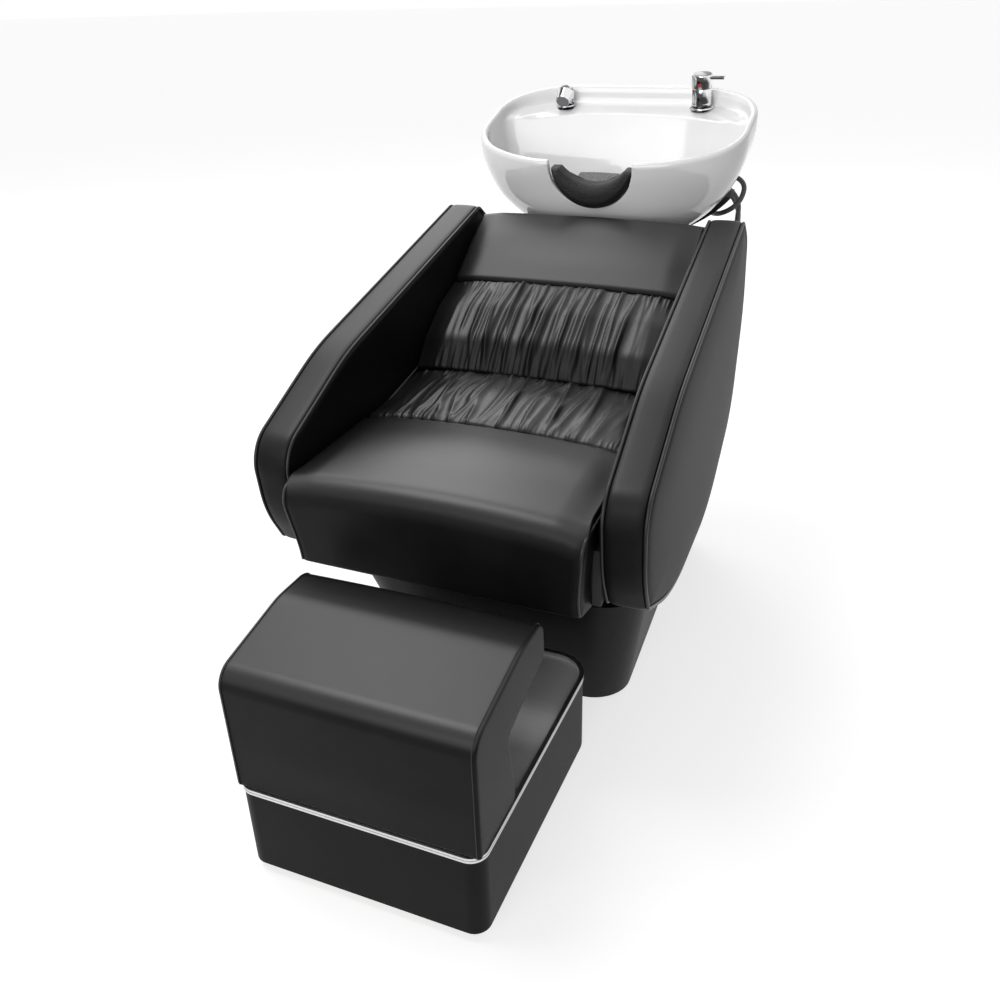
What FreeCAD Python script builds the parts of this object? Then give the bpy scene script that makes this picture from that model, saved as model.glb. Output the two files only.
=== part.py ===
import FreeCAD, Part
import math
import os

import Sketcher
from FreeCAD import Placement, Rotation, Vector

# A salon hair washing bed: a padded reclining seat between two leather arm slabs on a tapered
# pedestal, a tilting ceramic basin on a column behind it, and a loose footrest in front.
# Frame: +X to the right as seen from the footrest, +Y from the footrest to the basin, +Z up,
# floor at zero.

# Driving sizes in millimetres, angles in degrees. A reach is a distance ahead of the origin,
# a setback a distance behind it.
SIZES = {
    # Feet and floor boards
    "glide_height": 18.0,
    "glide_radius": 14.0,
    "glide_chamfer": 3.0,
    "glide_stem_radius": 5.0,
    "glide_stem_length": 14.0,
    "floor_board_thickness": 18.0,
    # Footrest box
    "footrest_width": 410.0,
    "footrest_depth": 494.0,
    "footrest_setout": 338.0,
    "footrest_box_height": 147.0,
    "footrest_front_radius": 27.0,
    "footrest_rear_radius": 62.0,
    "footrest_wall": 15.0,
    "footrest_glide_offset": 172.0,
    "footrest_glide_inset": 28.0,
    "footrest_glide_span": 385.0,
    "trim_height": 9.0,
    "trim_width": 8.0,
    "trim_proud": 1.5,
    "step_plate_thickness": 2.0,
    # Footrest pad
    "pad_height": 253.0,
    "pad_depth": 257.0,
    "pad_end_radius": 6.0,
    "pad_core_width": 340.0,
    # Pedestal
    "pedestal_height": 288.0,
    "pedestal_foot_width": 476.0,
    "pedestal_top_width": 586.0,
    "pedestal_foot_rear_width": 394.0,
    "pedestal_top_rear_width": 506.0,
    "pedestal_foot_reach": 115.0,
    "pedestal_top_reach": 222.0,
    "pedestal_rear_setback": 600.0,
    "pedestal_foot_radius": 75.0,
    "pedestal_top_radius": 85.0,
    "pedestal_rear_radius": 40.0,
    "pedestal_wall": 16.0,
    "service_mouth_width": 220.0,
    "service_mouth_height": 110.0,
    "chair_glide_front_offset": 208.0,
    "chair_glide_front_reach": 46.0,
    "chair_glide_rear_offset": 150.0,
    "chair_glide_rear_setback": 545.0,
    # Column behind the back
    "column_front_setback": 450.0,
    "column_rear_setback": 585.0,
    "column_foot_width": 450.0,
    "column_top_width": 472.0,
    "column_height": 424.0,
    "column_wall": 14.0,
    "column_radius": 26.0,
    "hose_mouth_width": 330.0,
    "hose_mouth_drop": 150.0,
    "access_mouth_width": 250.0,
    "access_mouth_height": 150.0,
    "access_mouth_rise": 50.0,
    "access_panel_overlap": 18.0,
    "access_panel_thickness": 4.0,
    # Steel frame in the column
    "upright_width": 30.0,
    "upright_depth": 40.0,
    "upright_height": 344.0,
    "upright_gap": 190.0,
    "foot_plate_depth": 90.0,
    "steel_plate": 5.0,
    "service_plate_depth": 84.0,
    "service_plate_rise": 224.0,
    "inlet_spacing": 130.0,
    "inlet_nut_radius": 12.0,
    "inlet_nut_height": 16.0,
    "inlet_radius": 8.0,
    "inlet_thread_radius": 10.4,
    "inlet_thread_length": 30.0,
    "waste_pipe_radius": 17.5,
    "waste_pipe_bore": 15.5,
    "waste_pipe_rise": 26.0,
    "waste_spigot_radius": 18.4,
    "thread_relief": 2.5,
    "waste_pipe_drop": 60.0,
    "waste_collar_radius": 25.0,
    "waste_collar_height": 4.0,
    "waste_setback": 545.0,
    # Seat box and riser
    "riser_height": 94.0,
    "riser_width": 440.0,
    "riser_reach": 190.0,
    "seat_box_height": 80.0,
    "seat_box_reach": 350.0,
    "seat_box_setback": 430.0,
    "board_thickness": 18.0,
    # Arms
    "arm_depth": 844.0,
    "arm_front_reach": 376.0,
    "arm_height": 532.0,
    "arm_thickness": 71.0,
    "arm_inner_offset": 242.0,
    "arm_reference_setback": 358.0,
    "arm_splay": 1.93,
    "arm_band_thickness": 16.0,
    "arm_cover_crown": 8.0,
    "piping_radius": 3.0,
    "piping_bulge": 0.12,
    "arm_bolt_radius": 4.0,
    "arm_bolt_head_radius": 8.0,
    "arm_bolt_head_height": 5.0,
    "arm_bolt_length": 58.0,
    # Seat and back upholstery
    "seat_side_gap": 7.0,
    "seat_splay": 1.37,
    "seat_front_overhang": 68.0,
    "seat_front_rise": 58.0,
    "seat_nose_overhang": 44.0,
    "seat_seam_reach": 139.0,
    "seat_seam_rise": 68.0,
    "seat_heel_setback": 50.0,
    "seat_heel_rise": 88.0,
    "seat_crown": 22.0,
    "seat_front_radius": 42.0,
    "seam_radius": 14.0,
    "seam_gap": 0.4,
    "cushion_edge_drop": 7.0,
    "back_heel_setback": 54.0,
    "back_heel_rise": 98.0,
    "back_angle": 35.8,
    "back_lumbar_length": 213.0,
    "back_head_length": 187.0,
    "back_depth": 80.0,
    "back_crown": 10.0,
    "back_lumbar_puff": 22.0,
    "back_board_thickness": 15.0,
    "gusset_offset": 200.0,
    # Basin
    "bowl_setback": 533.6,
    "bowl_base_height": 755.0,
    "bowl_lean": 10.0,
    "bowl_width": 568.0,
    "bowl_depth": 354.0,
    "bowl_height": 231.6,
    "bowl_rim_slope": 8.8,
    "bowl_foot_shift": 5.0,
    "bowl_rim_shift": 39.8,
    "bowl_wall": 14.0,
    "bowl_floor": 14.0,
    "deck_height": 222.7,
    "deck_front_inset": 34.0,
    "deck_foot_inset": 107.0,
    "deck_thickness": 14.0,
    "deck_wall": 8.0,
    "notch_radius": 86.3,
    "notch_height": 193.0,
    "drain_hole_radius": 24.0,
    # Neck rest
    "neck_rest_radius": 86.0,
    "neck_rest_front": 136.0,
    "neck_rest_depth": 42.0,
    "neck_rest_saddle_radius": 91.6,
    "neck_rest_saddle_height": 155.0,
    "neck_rest_flange_radius": 88.5,
    "neck_rest_flange_depth": 4.0,
    "neck_flap_width": 74.0,
    "neck_flap_length": 34.0,
    "neck_flap_thickness": 4.0,
    "neck_flap_slot": 6.0,
    # Tilt hinge
    "pivot_setback": 520.0,
    "pivot_height": 715.0,
    "pivot_radius": 6.0,
    "running_clearance": 0.05,
    "bush_radius": 9.0,
    "bush_flange_radius": 13.0,
    "bush_flange_thickness": 1.5,
    "ear_radius": 17.0,
    "ear_gap": 1.0,
    "cradle_overhang": 12.0,
    "cradle_depth": 96.0,
    "cradle_mouth_radius": 44.0,
    "saddle_thickness": 16.0,
    "saddle_height": 92.0,
    "saddle_near": 14.0,
    "saddle_far": 62.0,
    "saddle_gap": 0.5,
    "pin_head_radius": 10.0,
    "pin_head_thickness": 4.0,
    "lock_nut_height": 7.0,
    "mounting_bolt_radius": 4.0,
    "mounting_bolt_head_radius": 7.0,
    "mounting_bolt_head_height": 4.0,
    "mounting_bolt_depth": 9.0,
    "mounting_bolt_offset_x": 72.0,
    "mounting_bolt_offset_y": 28.0,
    # Drain
    "drain_flange_radius": 34.0,
    "drain_flange_thickness": 2.5,
    "drain_tube_radius": 22.0,
    "drain_bore": 19.0,
    "drain_tube_length": 44.0,
    "drain_gasket_thickness": 3.0,
    "drain_nut_radius": 32.0,
    "drain_nut_height": 10.0,
    "strainer_rim_radius": 27.0,
    "strainer_rim_thickness": 2.0,
    "strainer_depth": 16.0,
    "strainer_wall": 1.5,
    "strainer_hole_radius": 2.2,
    "strainer_ring_radius": 8.5,
    "waste_hose_radius": 21.0,
    "waste_hose_wall": 1.8,
    # Tap
    "fitting_spacing": 304.0,
    "fitting_inset": 6.0,
    "fitting_hole_radius": 17.0,
    "tap_ring_radius": 24.8,
    "tap_ring_height": 5.0,
    "tap_body_radius": 20.0,
    "tap_body_height": 37.0,
    "tap_shank_radius": 16.0,
    "tap_shank_length": 34.0,
    "tap_nut_radius": 22.0,
    "tap_nut_height": 8.0,
    "spindle_radius": 6.0,
    "spindle_rise": 10.0,
    "spindle_depth": 14.0,
    "cap_radius": 21.4,
    "cap_height": 27.0,
    "cap_wall": 4.0,
    "cap_gap": 0.6,
    "lever_length": 25.0,
    "lever_width": 12.0,
    "lever_thickness": 4.0,
    "lever_rise": 17.0,
    "lever_eye_radius": 2.6,
    "dot_radius": 3.6,
    "dot_thickness": 1.2,
    "dot_rise": 9.0,
    # Handset
    "handset_head_radius": 19.0,
    "handset_head_rise": 21.0,
    "handset_face_radius": 14.5,
    "handset_face_reach": 26.0,
    "handset_face_angle": 25.0,
    "handset_face_thickness": 2.0,
    "handset_face_rim": 2.0,
    "handset_stem_radius": 11.4,
    "handset_stem_length": 88.0,
    "handset_lift_gap": 0.3,
    "holder_radius": 15.0,
    "holder_flange_radius": 20.0,
    "holder_flange_height": 4.0,
    "holder_length": 34.0,
    "holder_nut_radius": 21.0,
    "holder_nut_height": 7.0,
    # Hoses
    "hose_radius": 5.2,
    "tail_offset": 8.2,
    "ferrule_radius": 6.4,
    "ferrule_length": 16.0,
    # Fixings and cuts
    "screw_radius": 2.5,
    "screw_head_radius": 5.0,
    "screw_head_height": 3.0,
    "screw_length": 10.0,
    "soft_gap": 0.8,
    "cut_overrun": 40.0,
}

DOC = FreeCAD.newDocument("HairWashingBed")
SHEET = DOC.addObject("Spreadsheet::Sheet", "Sizes")


class Length(float):
    """A number from the sheet that remembers the formula that gives it there."""

    def __new__(cls, value, formula):
        made = super().__new__(cls, value)
        made.formula = formula
        return made

    def __add__(self, other):
        return Length(float(self) + float(other), f"({formula_of(self)} + {formula_of(other)})")

    def __radd__(self, other):
        return Length(float(other) + float(self), f"({formula_of(other)} + {formula_of(self)})")

    def __sub__(self, other):
        return Length(float(self) - float(other), f"({formula_of(self)} - {formula_of(other)})")

    def __rsub__(self, other):
        return Length(float(other) - float(self), f"({formula_of(other)} - {formula_of(self)})")

    def __mul__(self, other):
        return Length(float(self) * float(other), f"({formula_of(self)} * {formula_of(other)})")

    def __rmul__(self, other):
        return Length(float(other) * float(self), f"({formula_of(other)} * {formula_of(self)})")

    def __truediv__(self, other):
        return Length(float(self) / float(other), f"({formula_of(self)} / {formula_of(other)})")

    def __neg__(self):
        return Length(-float(self), f"(0 - {formula_of(self)})")


def formula_of(value):
    """The sheet formula of a length, or the plain number."""
    return getattr(value, "formula", repr(float(value)))


class Sizes:
    """The sheet's values as attributes."""


def fill_sheet():
    """Write the driving sizes to the sheet and read them back."""
    for row, (name, value) in enumerate(SIZES.items(), start=1):
        SHEET.set(f"A{row}", name)
        SHEET.set(f"B{row}", str(value))
        SHEET.setAlias(f"B{row}", name)
    DOC.recompute()
    sizes = Sizes()
    for name in SIZES:
        setattr(sizes, name, Length(float(SHEET.get(name)), f"Sizes.{name}"))
    return sizes


S = fill_sheet()
NODES = []


def node(obj, label, placement=None):
    """Register an object as a finished sub-part under its own name."""
    obj.Label = label
    if placement is not None:
        obj.Placement = placement
    NODES.append(obj)
    return obj


def bind(obj, prop, value):
    """Drive a property from the sheet, or set it where the value is a plain zero."""
    if isinstance(value, Length):
        obj.setExpression(prop, value.formula)
    else:
        setattr(obj, prop, value)


def bind_base(obj, base):
    """Drive an object's position from the sheet."""
    for axis, value in zip("xyz", base):
        if isinstance(value, Length):
            obj.setExpression(f"Placement.Base.{axis}", value.formula)


def box(name, low, high):
    """A box between two corners."""
    made = DOC.addObject("Part::Box", name)
    for prop, start, end in zip(("Length", "Width", "Height"), low, high):
        bind(made, prop, end - start)
    bind_base(made, low)
    return made


AXIS_TURN = {"Z": Rotation(), "X": Rotation(Vector(0, 1, 0), 90), "Y": Rotation(Vector(1, 0, 0), -90)}


def cylinder(name, radius, height, base, axis="Z"):
    """A cylinder that starts at base and runs along an axis."""
    made = DOC.addObject("Part::Cylinder", name)
    made.Placement = Placement(Vector(0, 0, 0), AXIS_TURN[axis])
    bind(made, "Radius", radius)
    bind(made, "Height", height)
    bind_base(made, base)
    return made


def cut(name, base, *tools):
    """The base less the tools."""
    made = DOC.addObject("Part::Cut", name)
    made.Base = base
    made.Tool = tools[0] if len(tools) == 1 else fuse(name + "_tools", *tools)
    return made


def fuse(name, *shapes):
    """Several shapes as one solid, or as one group where they stand apart."""
    made = DOC.addObject("Part::MultiFuse", name)
    made.Shapes = list(shapes)
    return made


def common(name, *shapes):
    """What several shapes share."""
    made = DOC.addObject("Part::MultiCommon", name)
    made.Shapes = list(shapes)
    return made


def mirrored(name, source):
    """The left hand copy of a right hand piece."""
    made = DOC.addObject("Part::Mirroring", name)
    made.Source = source
    made.Normal = Vector(1, 0, 0)
    made.Base = Vector(0, 0, 0)
    return made


def group(name, *shapes):
    """Separate solids under one name."""
    made = DOC.addObject("Part::Compound", name)
    made.Links = list(shapes)
    return made


def form(name, shape):
    """A shape that Part's own functions made, as an object of the document."""
    made = DOC.addObject("Part::Feature", name)
    made.Shape = shape
    return made


def plane_of(body, role):
    """One of a body's own origin planes."""
    return next(f for f in body.Origin.OriginFeatures if f.Role == role)


def new_sketch(body, name, role):
    """A sketch on a body's origin plane."""
    sketch = body.newObject("Sketcher::SketchObject", name)
    sketch.AttachmentSupport = (plane_of(body, role), [""])
    sketch.MapMode = "FlatFace"
    return sketch


def hold_point(sketch, line, horizontal, vertical):
    """Fix the start of a line to its two distances from the sketch's origin."""
    pairs = (("DistanceX", horizontal, -2), ("DistanceY", vertical, -1))
    for kind, value, axis in pairs:
        if isinstance(value, Length):
            index = sketch.addConstraint(Sketcher.Constraint(kind, -1, 1, line, 1, float(value)))
            sketch.setExpression(f"Constraints[{index}]", value.formula)
        else:
            sketch.addConstraint(Sketcher.Constraint("PointOnObject", line, 1, axis))


def draw_polygon(sketch, points):
    """A closed polygon whose corners are all driven from the sheet."""
    corners = [Vector(float(a), float(b), 0) for a, b in points]
    count = len(corners)
    for index, corner in enumerate(corners):
        sketch.addGeometry(Part.LineSegment(corner, corners[(index + 1) % count]), False)
    for index in range(count):
        sketch.addConstraint(Sketcher.Constraint("Coincident", index, 2, (index + 1) % count, 1))
    for index, (a, b) in enumerate(points):
        hold_point(sketch, index, a, b)


def turned(name, profile, placement=None):
    """A turned piece: a body that revolves a polygon of radius and height about Z."""
    body = DOC.addObject("PartDesign::Body", name)
    sketch = new_sketch(body, name + "_profile", "XZ_Plane")
    draw_polygon(sketch, profile)
    turn = body.newObject("PartDesign::Revolution", name + "_turn")
    turn.Profile = sketch
    turn.ReferenceAxis = (sketch, ["V_Axis"])
    turn.Angle = 360
    sketch.Visibility = False
    if placement is not None:
        body.Placement = placement
    return body


def plate(name, outline, thickness, placement=None, holes=()):
    """A flat plate: a body that pads an outline and pockets round holes."""
    body = DOC.addObject("PartDesign::Body", name)
    sketch = new_sketch(body, name + "_outline", "XY_Plane")
    draw_polygon(sketch, outline)
    pad = body.newObject("PartDesign::Pad", name + "_pad")
    pad.Profile = sketch
    pad.setExpression("Length", thickness.formula)
    for index, (x, y, radius) in enumerate(holes):
        hole_sketch = new_sketch(body, f"{name}_hole_{index}", "XY_Plane")
        hole_sketch.addGeometry(
            Part.Circle(Vector(float(x), float(y), 0), Vector(0, 0, 1), float(radius)), False
        )
        ring = hole_sketch.addConstraint(Sketcher.Constraint("Radius", 0, float(radius)))
        hole_sketch.setExpression(f"Constraints[{ring}]", radius.formula)
        for kind, value, axis in (("DistanceX", x, -2), ("DistanceY", y, -1)):
            if isinstance(value, Length):
                held = hole_sketch.addConstraint(Sketcher.Constraint(kind, -1, 1, 0, 3, float(value)))
                hole_sketch.setExpression(f"Constraints[{held}]", value.formula)
            else:
                hole_sketch.addConstraint(Sketcher.Constraint("PointOnObject", 0, 3, axis))
        pocket = body.newObject("PartDesign::Pocket", f"{name}_pocket_{index}")
        pocket.Profile = hole_sketch
        pocket.Type = "ThroughAll"
        pocket.Midplane = True
    if placement is not None:
        body.Placement = placement
    return body


def rectangle(low_x, low_y, high_x, high_y):
    """The corners of a rectangle."""
    return [(low_x, low_y), (high_x, low_y), (high_x, high_y), (low_x, high_y)]


def trig(function, name, degrees):
    """A cosine, sine or tangent of an angle in the sheet."""
    return Length(function(math.radians(float(degrees))), f"{name}({formula_of(degrees)})")


LEAN_COS = trig(math.cos, "cos", S.bowl_lean)
LEAN_SIN = trig(math.sin, "sin", S.bowl_lean)
BACK_COS = trig(math.cos, "cos", S.back_angle)
BACK_SIN = trig(math.sin, "sin", S.back_angle)
SPLAY_TAN = trig(math.tan, "tan", S.arm_splay)
HALF_SHARE = 0.5


def corner_turns(corners):
    """The incoming direction, outgoing direction and turn at each corner of a closed outline."""
    found = []
    count = len(corners)
    for index in range(count):
        before, here, after = (corners[(index + step) % count] for step in (-1, 0, 1))
        way_in = Vector(float(here[0]) - float(before[0]), float(here[1]) - float(before[1]), 0).normalize()
        way_out = Vector(float(after[0]) - float(here[0]), float(after[1]) - float(here[1]), 0).normalize()
        cross = way_in.x * way_out.y - way_in.y * way_out.x
        turn = math.atan2(cross, way_in.dot(way_out))
        found.append((way_in, way_out, turn))
    return found


def rounded_wire(corners, to_point):
    """A closed wire of straight runs and tangent arcs from corners with a radius each."""
    turns = corner_turns(corners)
    starts, ends, middles = [], [], []
    for (a, b, radius), (way_in, way_out, turn) in zip(corners, turns):
        corner = Vector(float(a), float(b), 0)
        reach = float(radius) * math.tan(abs(turn) / 2)
        starts.append(corner - way_in * reach)
        ends.append(corner + way_out * reach)
        inward = (way_out - way_in).normalize()
        depth = float(radius) * (1 / math.cos(turn / 2) - 1)
        middles.append(corner + inward * depth)
    edges = []
    count = len(corners)
    for index in range(count):
        following = (index + 1) % count
        if float(corners[index][2]) > 0:
            points = [to_point(p.x, p.y) for p in (starts[index], middles[index], ends[index])]
            edges.append(Part.Arc(*points).toShape())
        if ends[index].distanceToPoint(starts[following]) > LENGTH_TOLERANCE:
            points = [to_point(p.x, p.y) for p in (ends[index], starts[following])]
            edges.append(Part.LineSegment(*points).toShape())
    return Part.Wire(edges)


def inset(corners, amount):
    """The corners of an outline moved inward, for corners listed anticlockwise."""
    turns = corner_turns(corners)
    moved = []
    for (a, b, radius), (way_in, way_out, turn) in zip(corners, turns):
        left_in = Vector(-way_in.y, way_in.x, 0)
        left_out = Vector(-way_out.y, way_out.x, 0)
        share = float(amount) / (1 + left_in.dot(left_out))
        change = -float(amount) if turn > 0 else float(amount)
        fresh = max(float(radius) + change, float(S.piping_bulge)) if float(radius) > 0 else 0
        shift = (left_in + left_out) * share
        moved.append((float(a) + shift.x, float(b) + shift.y, fresh))
    return moved


LENGTH_TOLERANCE = float(S.running_clearance) / 1000


def across(x):
    """Points of a side view at a station across the width."""
    return lambda a, b: Vector(float(x), a, b)


def level(z):
    """Points of a plan at a height."""
    return lambda a, b: Vector(a, b, float(z))


def prism(corners, to_point, run):
    """An outline extruded by a vector."""
    return Part.Face(rounded_wire(corners, to_point)).extrude(run)


def ring(outer, inner, to_point, run):
    """The strip between two outlines, extruded."""
    return prism(outer, to_point, run).cut(prism(inner, to_point, run))


def sharp(points):
    """Corners without a radius."""
    return [(a, b, 0) for a, b in points]


# Outline of an arm from the side: shares of its depth and height, and its corner radii as shares
# of the height, anticlockwise from the top rear corner
ARM_OUTLINE_SHARES = (
    (0.890, 0.998, 0.034),
    (0.250, 0.722, 0.93),
    (0.001, 0.524, 0.132),
    (0.0166, 0.2895, 0.376),
    (0.0604, 0.160, 0.023),
    (0.2737, 0.0, 0.93),
    (0.6706, 0.0, 0.65),
    (0.931, 0.229, 0.28),
    (0.999, 0.628, 0.47),
    (0.962, 0.9135, 0.15),
)


def arm_corners():
    """The arm outline in the arm's own frame: depth from its reference point, height from its foot."""
    front = -float(S.arm_front_reach) - float(S.arm_reference_setback)
    return [
        (front + along * float(S.arm_depth), up * float(S.arm_height), turn * float(S.arm_height))
        for along, up, turn in ARM_OUTLINE_SHARES
    ]


ARM = arm_corners()
COVER = S.piping_radius * 2
DECK_LEVEL = S.glide_height + S.pedestal_height


def arm_place():
    """Where the right arm's own frame stands."""
    base = Vector(float(S.arm_inner_offset), float(S.arm_reference_setback), float(DECK_LEVEL))
    return Placement(base, Rotation(Vector(0, 0, 1), float(S.arm_splay)))


ARM_PLACE = arm_place()


def welt_section(centre, flat_way, side_way, flats):
    """A round welt section with a flat where it meets each neighbour."""
    round_radius = float(S.piping_radius) + float(S.piping_bulge)
    half_flat = math.acos(float(S.piping_radius) / round_radius)

    def at(angle):
        return centre + (flat_way * math.cos(angle) + side_way * math.sin(angle)) * round_radius

    marks = []
    for angle in flats:
        marks.append((angle - half_flat, angle + half_flat))
    edges = []
    for index, (start, end) in enumerate(marks):
        following = marks[(index + 1) % len(marks)][0]
        if following <= end:
            following += 2 * math.pi
        edges.append(Part.LineSegment(at(start), at(end)).toShape())
        middle = (end + following) * HALF_SHARE
        for low, high in ((end, middle), (middle, following)):
            edges.append(Part.Arc(at(low), at((low + high) * HALF_SHARE), at(high)).toShape())
    return Part.Wire(edges)


def arm_piping(station, flat_sign):
    """One welt round an arm, at a station through its thickness."""
    path = rounded_wire(inset(ARM, S.piping_radius), across(station))
    first = path.OrderedEdges[0] if hasattr(path, "OrderedEdges") else path.Edges[0]
    start = first.valueAt(first.FirstParameter)
    way = first.tangentAt(first.FirstParameter)
    inward = Vector(1, 0, 0).cross(way)
    quarter = math.pi * HALF_SHARE
    section = welt_section(start, Vector(flat_sign, 0, 0), inward, (0, quarter, 2 * quarter, 3 * quarter))
    return path.makePipeShell([section], True, False)


def bolt_spots():
    """Where the arm bolts pass, in the arm's frame."""
    rise = S.riser_height + S.seat_box_height * HALF_SHARE
    return [
        (
            float(S.arm_depth) * share - float(S.arm_front_reach) - float(S.arm_reference_setback),
            float(rise)
        )
        for share in BOLT_ALONG_SHARES
    ]


BOLT_ALONG_SHARES = (0.16, 0.45, 0.74)


def along_x(radius, low, high, y, z):
    """A round bar across the width."""
    return Part.makeCylinder(
        float(radius), float(high) - float(low), Vector(float(low), float(y), float(z)), Vector(1, 0, 0)
    )


PAIRED_ARM_PIECES = {"core": "arm_cores", "inner_cover": "arm_inner_covers", "piping": "arm_piping"}


def make_arms():
    """Both arms: core, band, covers, welts and the bolts that hold them to the seat box."""
    outer_face = S.arm_thickness - COVER
    through = outer_face - COVER
    holes = [
        along_x(S.arm_bolt_radius, -S.cut_overrun, S.arm_bolt_length - S.board_thickness, y, z)
        for y, z in bolt_spots()
    ]
    core_corners = inset(ARM, S.arm_band_thickness)
    core = prism(core_corners, across(COVER), Vector(float(through), 0, 0))
    for hole in holes:
        core = core.cut(hole)
    band = ring(ARM, core_corners, across(COVER), Vector(float(through), 0, 0))
    inner = prism(inset(ARM, COVER), across(0), Vector(float(COVER), 0, 0))
    for hole in holes:
        inner = inner.cut(hole)
    shoulder = S.arm_thickness - S.piping_radius
    steps = (
        (COVER, shoulder), (COVER * 2, S.arm_thickness),
        (COVER * 8, S.arm_thickness + S.arm_cover_crown)
    )
    wires = [rounded_wire(inset(ARM, amount), across(station)) for amount, station in steps]
    rim = prism(inset(ARM, COVER), across(outer_face), Vector(float(shoulder - outer_face), 0, 0))
    outer = rim.fuse(Part.makeLoft(wires, True, False))
    welts = Part.makeCompound([
        arm_piping(S.piping_radius, 1),
        arm_piping(S.arm_thickness - S.piping_radius, -1),
    ])
    shapes = (
        ("core", core), ("band", band), ("inner_cover", inner), ("outer_cover", outer),
        ("piping", welts)
    )
    for name, shape in shapes:
        right = form("right_arm_" + name, shape)
        right.Placement = ARM_PLACE
        left = mirrored("left_arm_" + name, right)
        if name in PAIRED_ARM_PIECES:
            node(group(PAIRED_ARM_PIECES[name], right, left), PAIRED_ARM_PIECES[name])
        else:
            node(right, "right_arm_" + name)
            node(left, "left_arm_" + name)
    bolts = []
    for y, z in bolt_spots():
        shank = along_x(S.arm_bolt_radius, -S.board_thickness, S.arm_bolt_length - S.board_thickness, y, z)
        head = along_x(
            S.arm_bolt_head_radius, -S.board_thickness - S.arm_bolt_head_height, -S.board_thickness, y,
            z
        )
        bolts.append(shank.fuse(head).removeSplitter())
    right_bolts = form("right_bolts", Part.makeCompound(bolts))
    right_bolts.Placement = ARM_PLACE
    node(group("arm_bolts", right_bolts, mirrored("left_bolts", right_bolts)), "arm_bolts")


def beside_arm(y):
    """Half the distance between the arms' inner faces at a distance along the bed."""
    return S.arm_inner_offset + SPLAY_TAN * (S.arm_reference_setback - y)


def make_seat_frame():
    """The boxes and boards under the upholstery."""
    rear = S.seat_box_setback
    riser_half = S.riser_width * HALF_SHARE
    riser_outer = box(
        "riser_block", (-riser_half, -S.riser_reach, DECK_LEVEL),
        (riser_half, rear, DECK_LEVEL + S.riser_height)
    )
    riser_inner = box(
        "riser_room",
        (S.board_thickness - riser_half, S.board_thickness - S.riser_reach, DECK_LEVEL - S.cut_overrun),
        (
            riser_half - S.board_thickness, rear - S.board_thickness,
            DECK_LEVEL + S.riser_height + S.cut_overrun
        ),
    )
    riser = cut("seat_riser", riser_outer, riser_inner)
    box_foot = DECK_LEVEL + S.riser_height
    front = -S.seat_box_reach
    outline = [
        (-beside_arm(front), front), (beside_arm(front), front), (beside_arm(rear), rear),
        (-beside_arm(rear), rear)
    ]
    block = plate("seat_box_block", outline, S.seat_box_height)
    bind_base(block, (0, 0, box_foot))
    wall = S.board_thickness
    low, high = front + wall, rear - wall
    room_outline = [
        (wall - beside_arm(low), low), (beside_arm(low) - wall, low),
        (beside_arm(high) - wall, high), (wall - beside_arm(high), high),
    ]
    room = plate("seat_box_room", room_outline, S.seat_box_height + S.cut_overrun * 2)
    bind_base(room, (0, 0, box_foot - S.cut_overrun))
    holes = form("seat_box_holes", Part.makeCompound([
        along_x(
            S.arm_bolt_radius, -S.board_thickness - S.cut_overrun, S.cut_overrun, y, z
        ) for y, z in bolt_spots()
    ]))
    holes.Placement = ARM_PLACE
    upper = cut("seat_box", block, room, holes, mirrored("seat_box_left_holes", holes))
    node(fuse("seat_frame", riser, upper), "seat_frame")
    board_foot = box_foot + S.seat_box_height
    board = plate("seat_board", outline, S.board_thickness)
    bind_base(board, (0, 0, board_foot))
    node(board, "seat_board")


BOARD_LEVEL = DECK_LEVEL + S.riser_height + S.seat_box_height + S.board_thickness
SEAT_FRONT_HEIGHT = BOARD_LEVEL + S.seat_front_rise
SEAT_SEAM_HEIGHT = BOARD_LEVEL + S.seat_seam_rise
SEAT_HEEL_HEIGHT = BOARD_LEVEL + S.seat_heel_rise
BACK_HEEL_HEIGHT = BOARD_LEVEL + S.back_heel_rise
SEAT_FRONT_REACH = S.seat_box_reach + S.seat_front_overhang
SEAT_NOSE_REACH = S.seat_box_reach + S.seat_nose_overhang
FOOTREST_REACH = S.seat_box_reach + S.footrest_setout
DECK_FRONT = S.bowl_depth * HALF_SHARE - S.deck_front_inset
DECK_FOOT = S.bowl_depth * HALF_SHARE - S.deck_foot_inset
FITTING_DEPTH = S.bowl_depth * HALF_SHARE - S.fitting_inset


def panel_section(corners, share):
    """A side section of a cushion at a share of the way from its middle to its edge."""
    half = float(S.arm_inner_offset) - float(S.seat_side_gap)
    reference = float(S.arm_reference_setback)
    wire = rounded_wire([(a - reference, b, radius) for a, b, radius in corners], across(0))
    wire.Placement = Placement(
        Vector(half * share, reference, 0), Rotation(Vector(0, 0, 1), float(S.seat_splay) * share)
    )
    return wire


SECTION_SHARES = (-1.0, -0.9, -0.5, 0.0, 0.5, 0.9, 1.0)


def crown_at(share, crown):
    """How far a cushion's face stands above its edge line at a share of its half width."""
    if abs(share) == 1:
        return -float(S.cushion_edge_drop)
    return float(crown) * (1 - share * share)


def crowned_panel(corners_at, crown):
    """A cushion lofted across the bed through side sections that rise to the middle."""
    wires = [panel_section(corners_at(crown_at(share, crown)), share) for share in SECTION_SHARES]
    return Part.makeLoft(wires, True, False)


def back_point(along, out):
    """A point of the side view from its distance up the back and out from its face."""
    return (
        float(S.back_heel_setback) + along * float(BACK_COS) - out * float(BACK_SIN),
        float(BACK_HEEL_HEIGHT) + along * float(BACK_SIN) + out * float(BACK_COS),
    )


def back_corners(places):
    """Corners given up the back, as corners of the side view."""
    return [back_point(along, out) + (radius,) for along, out, radius in places]


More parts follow.
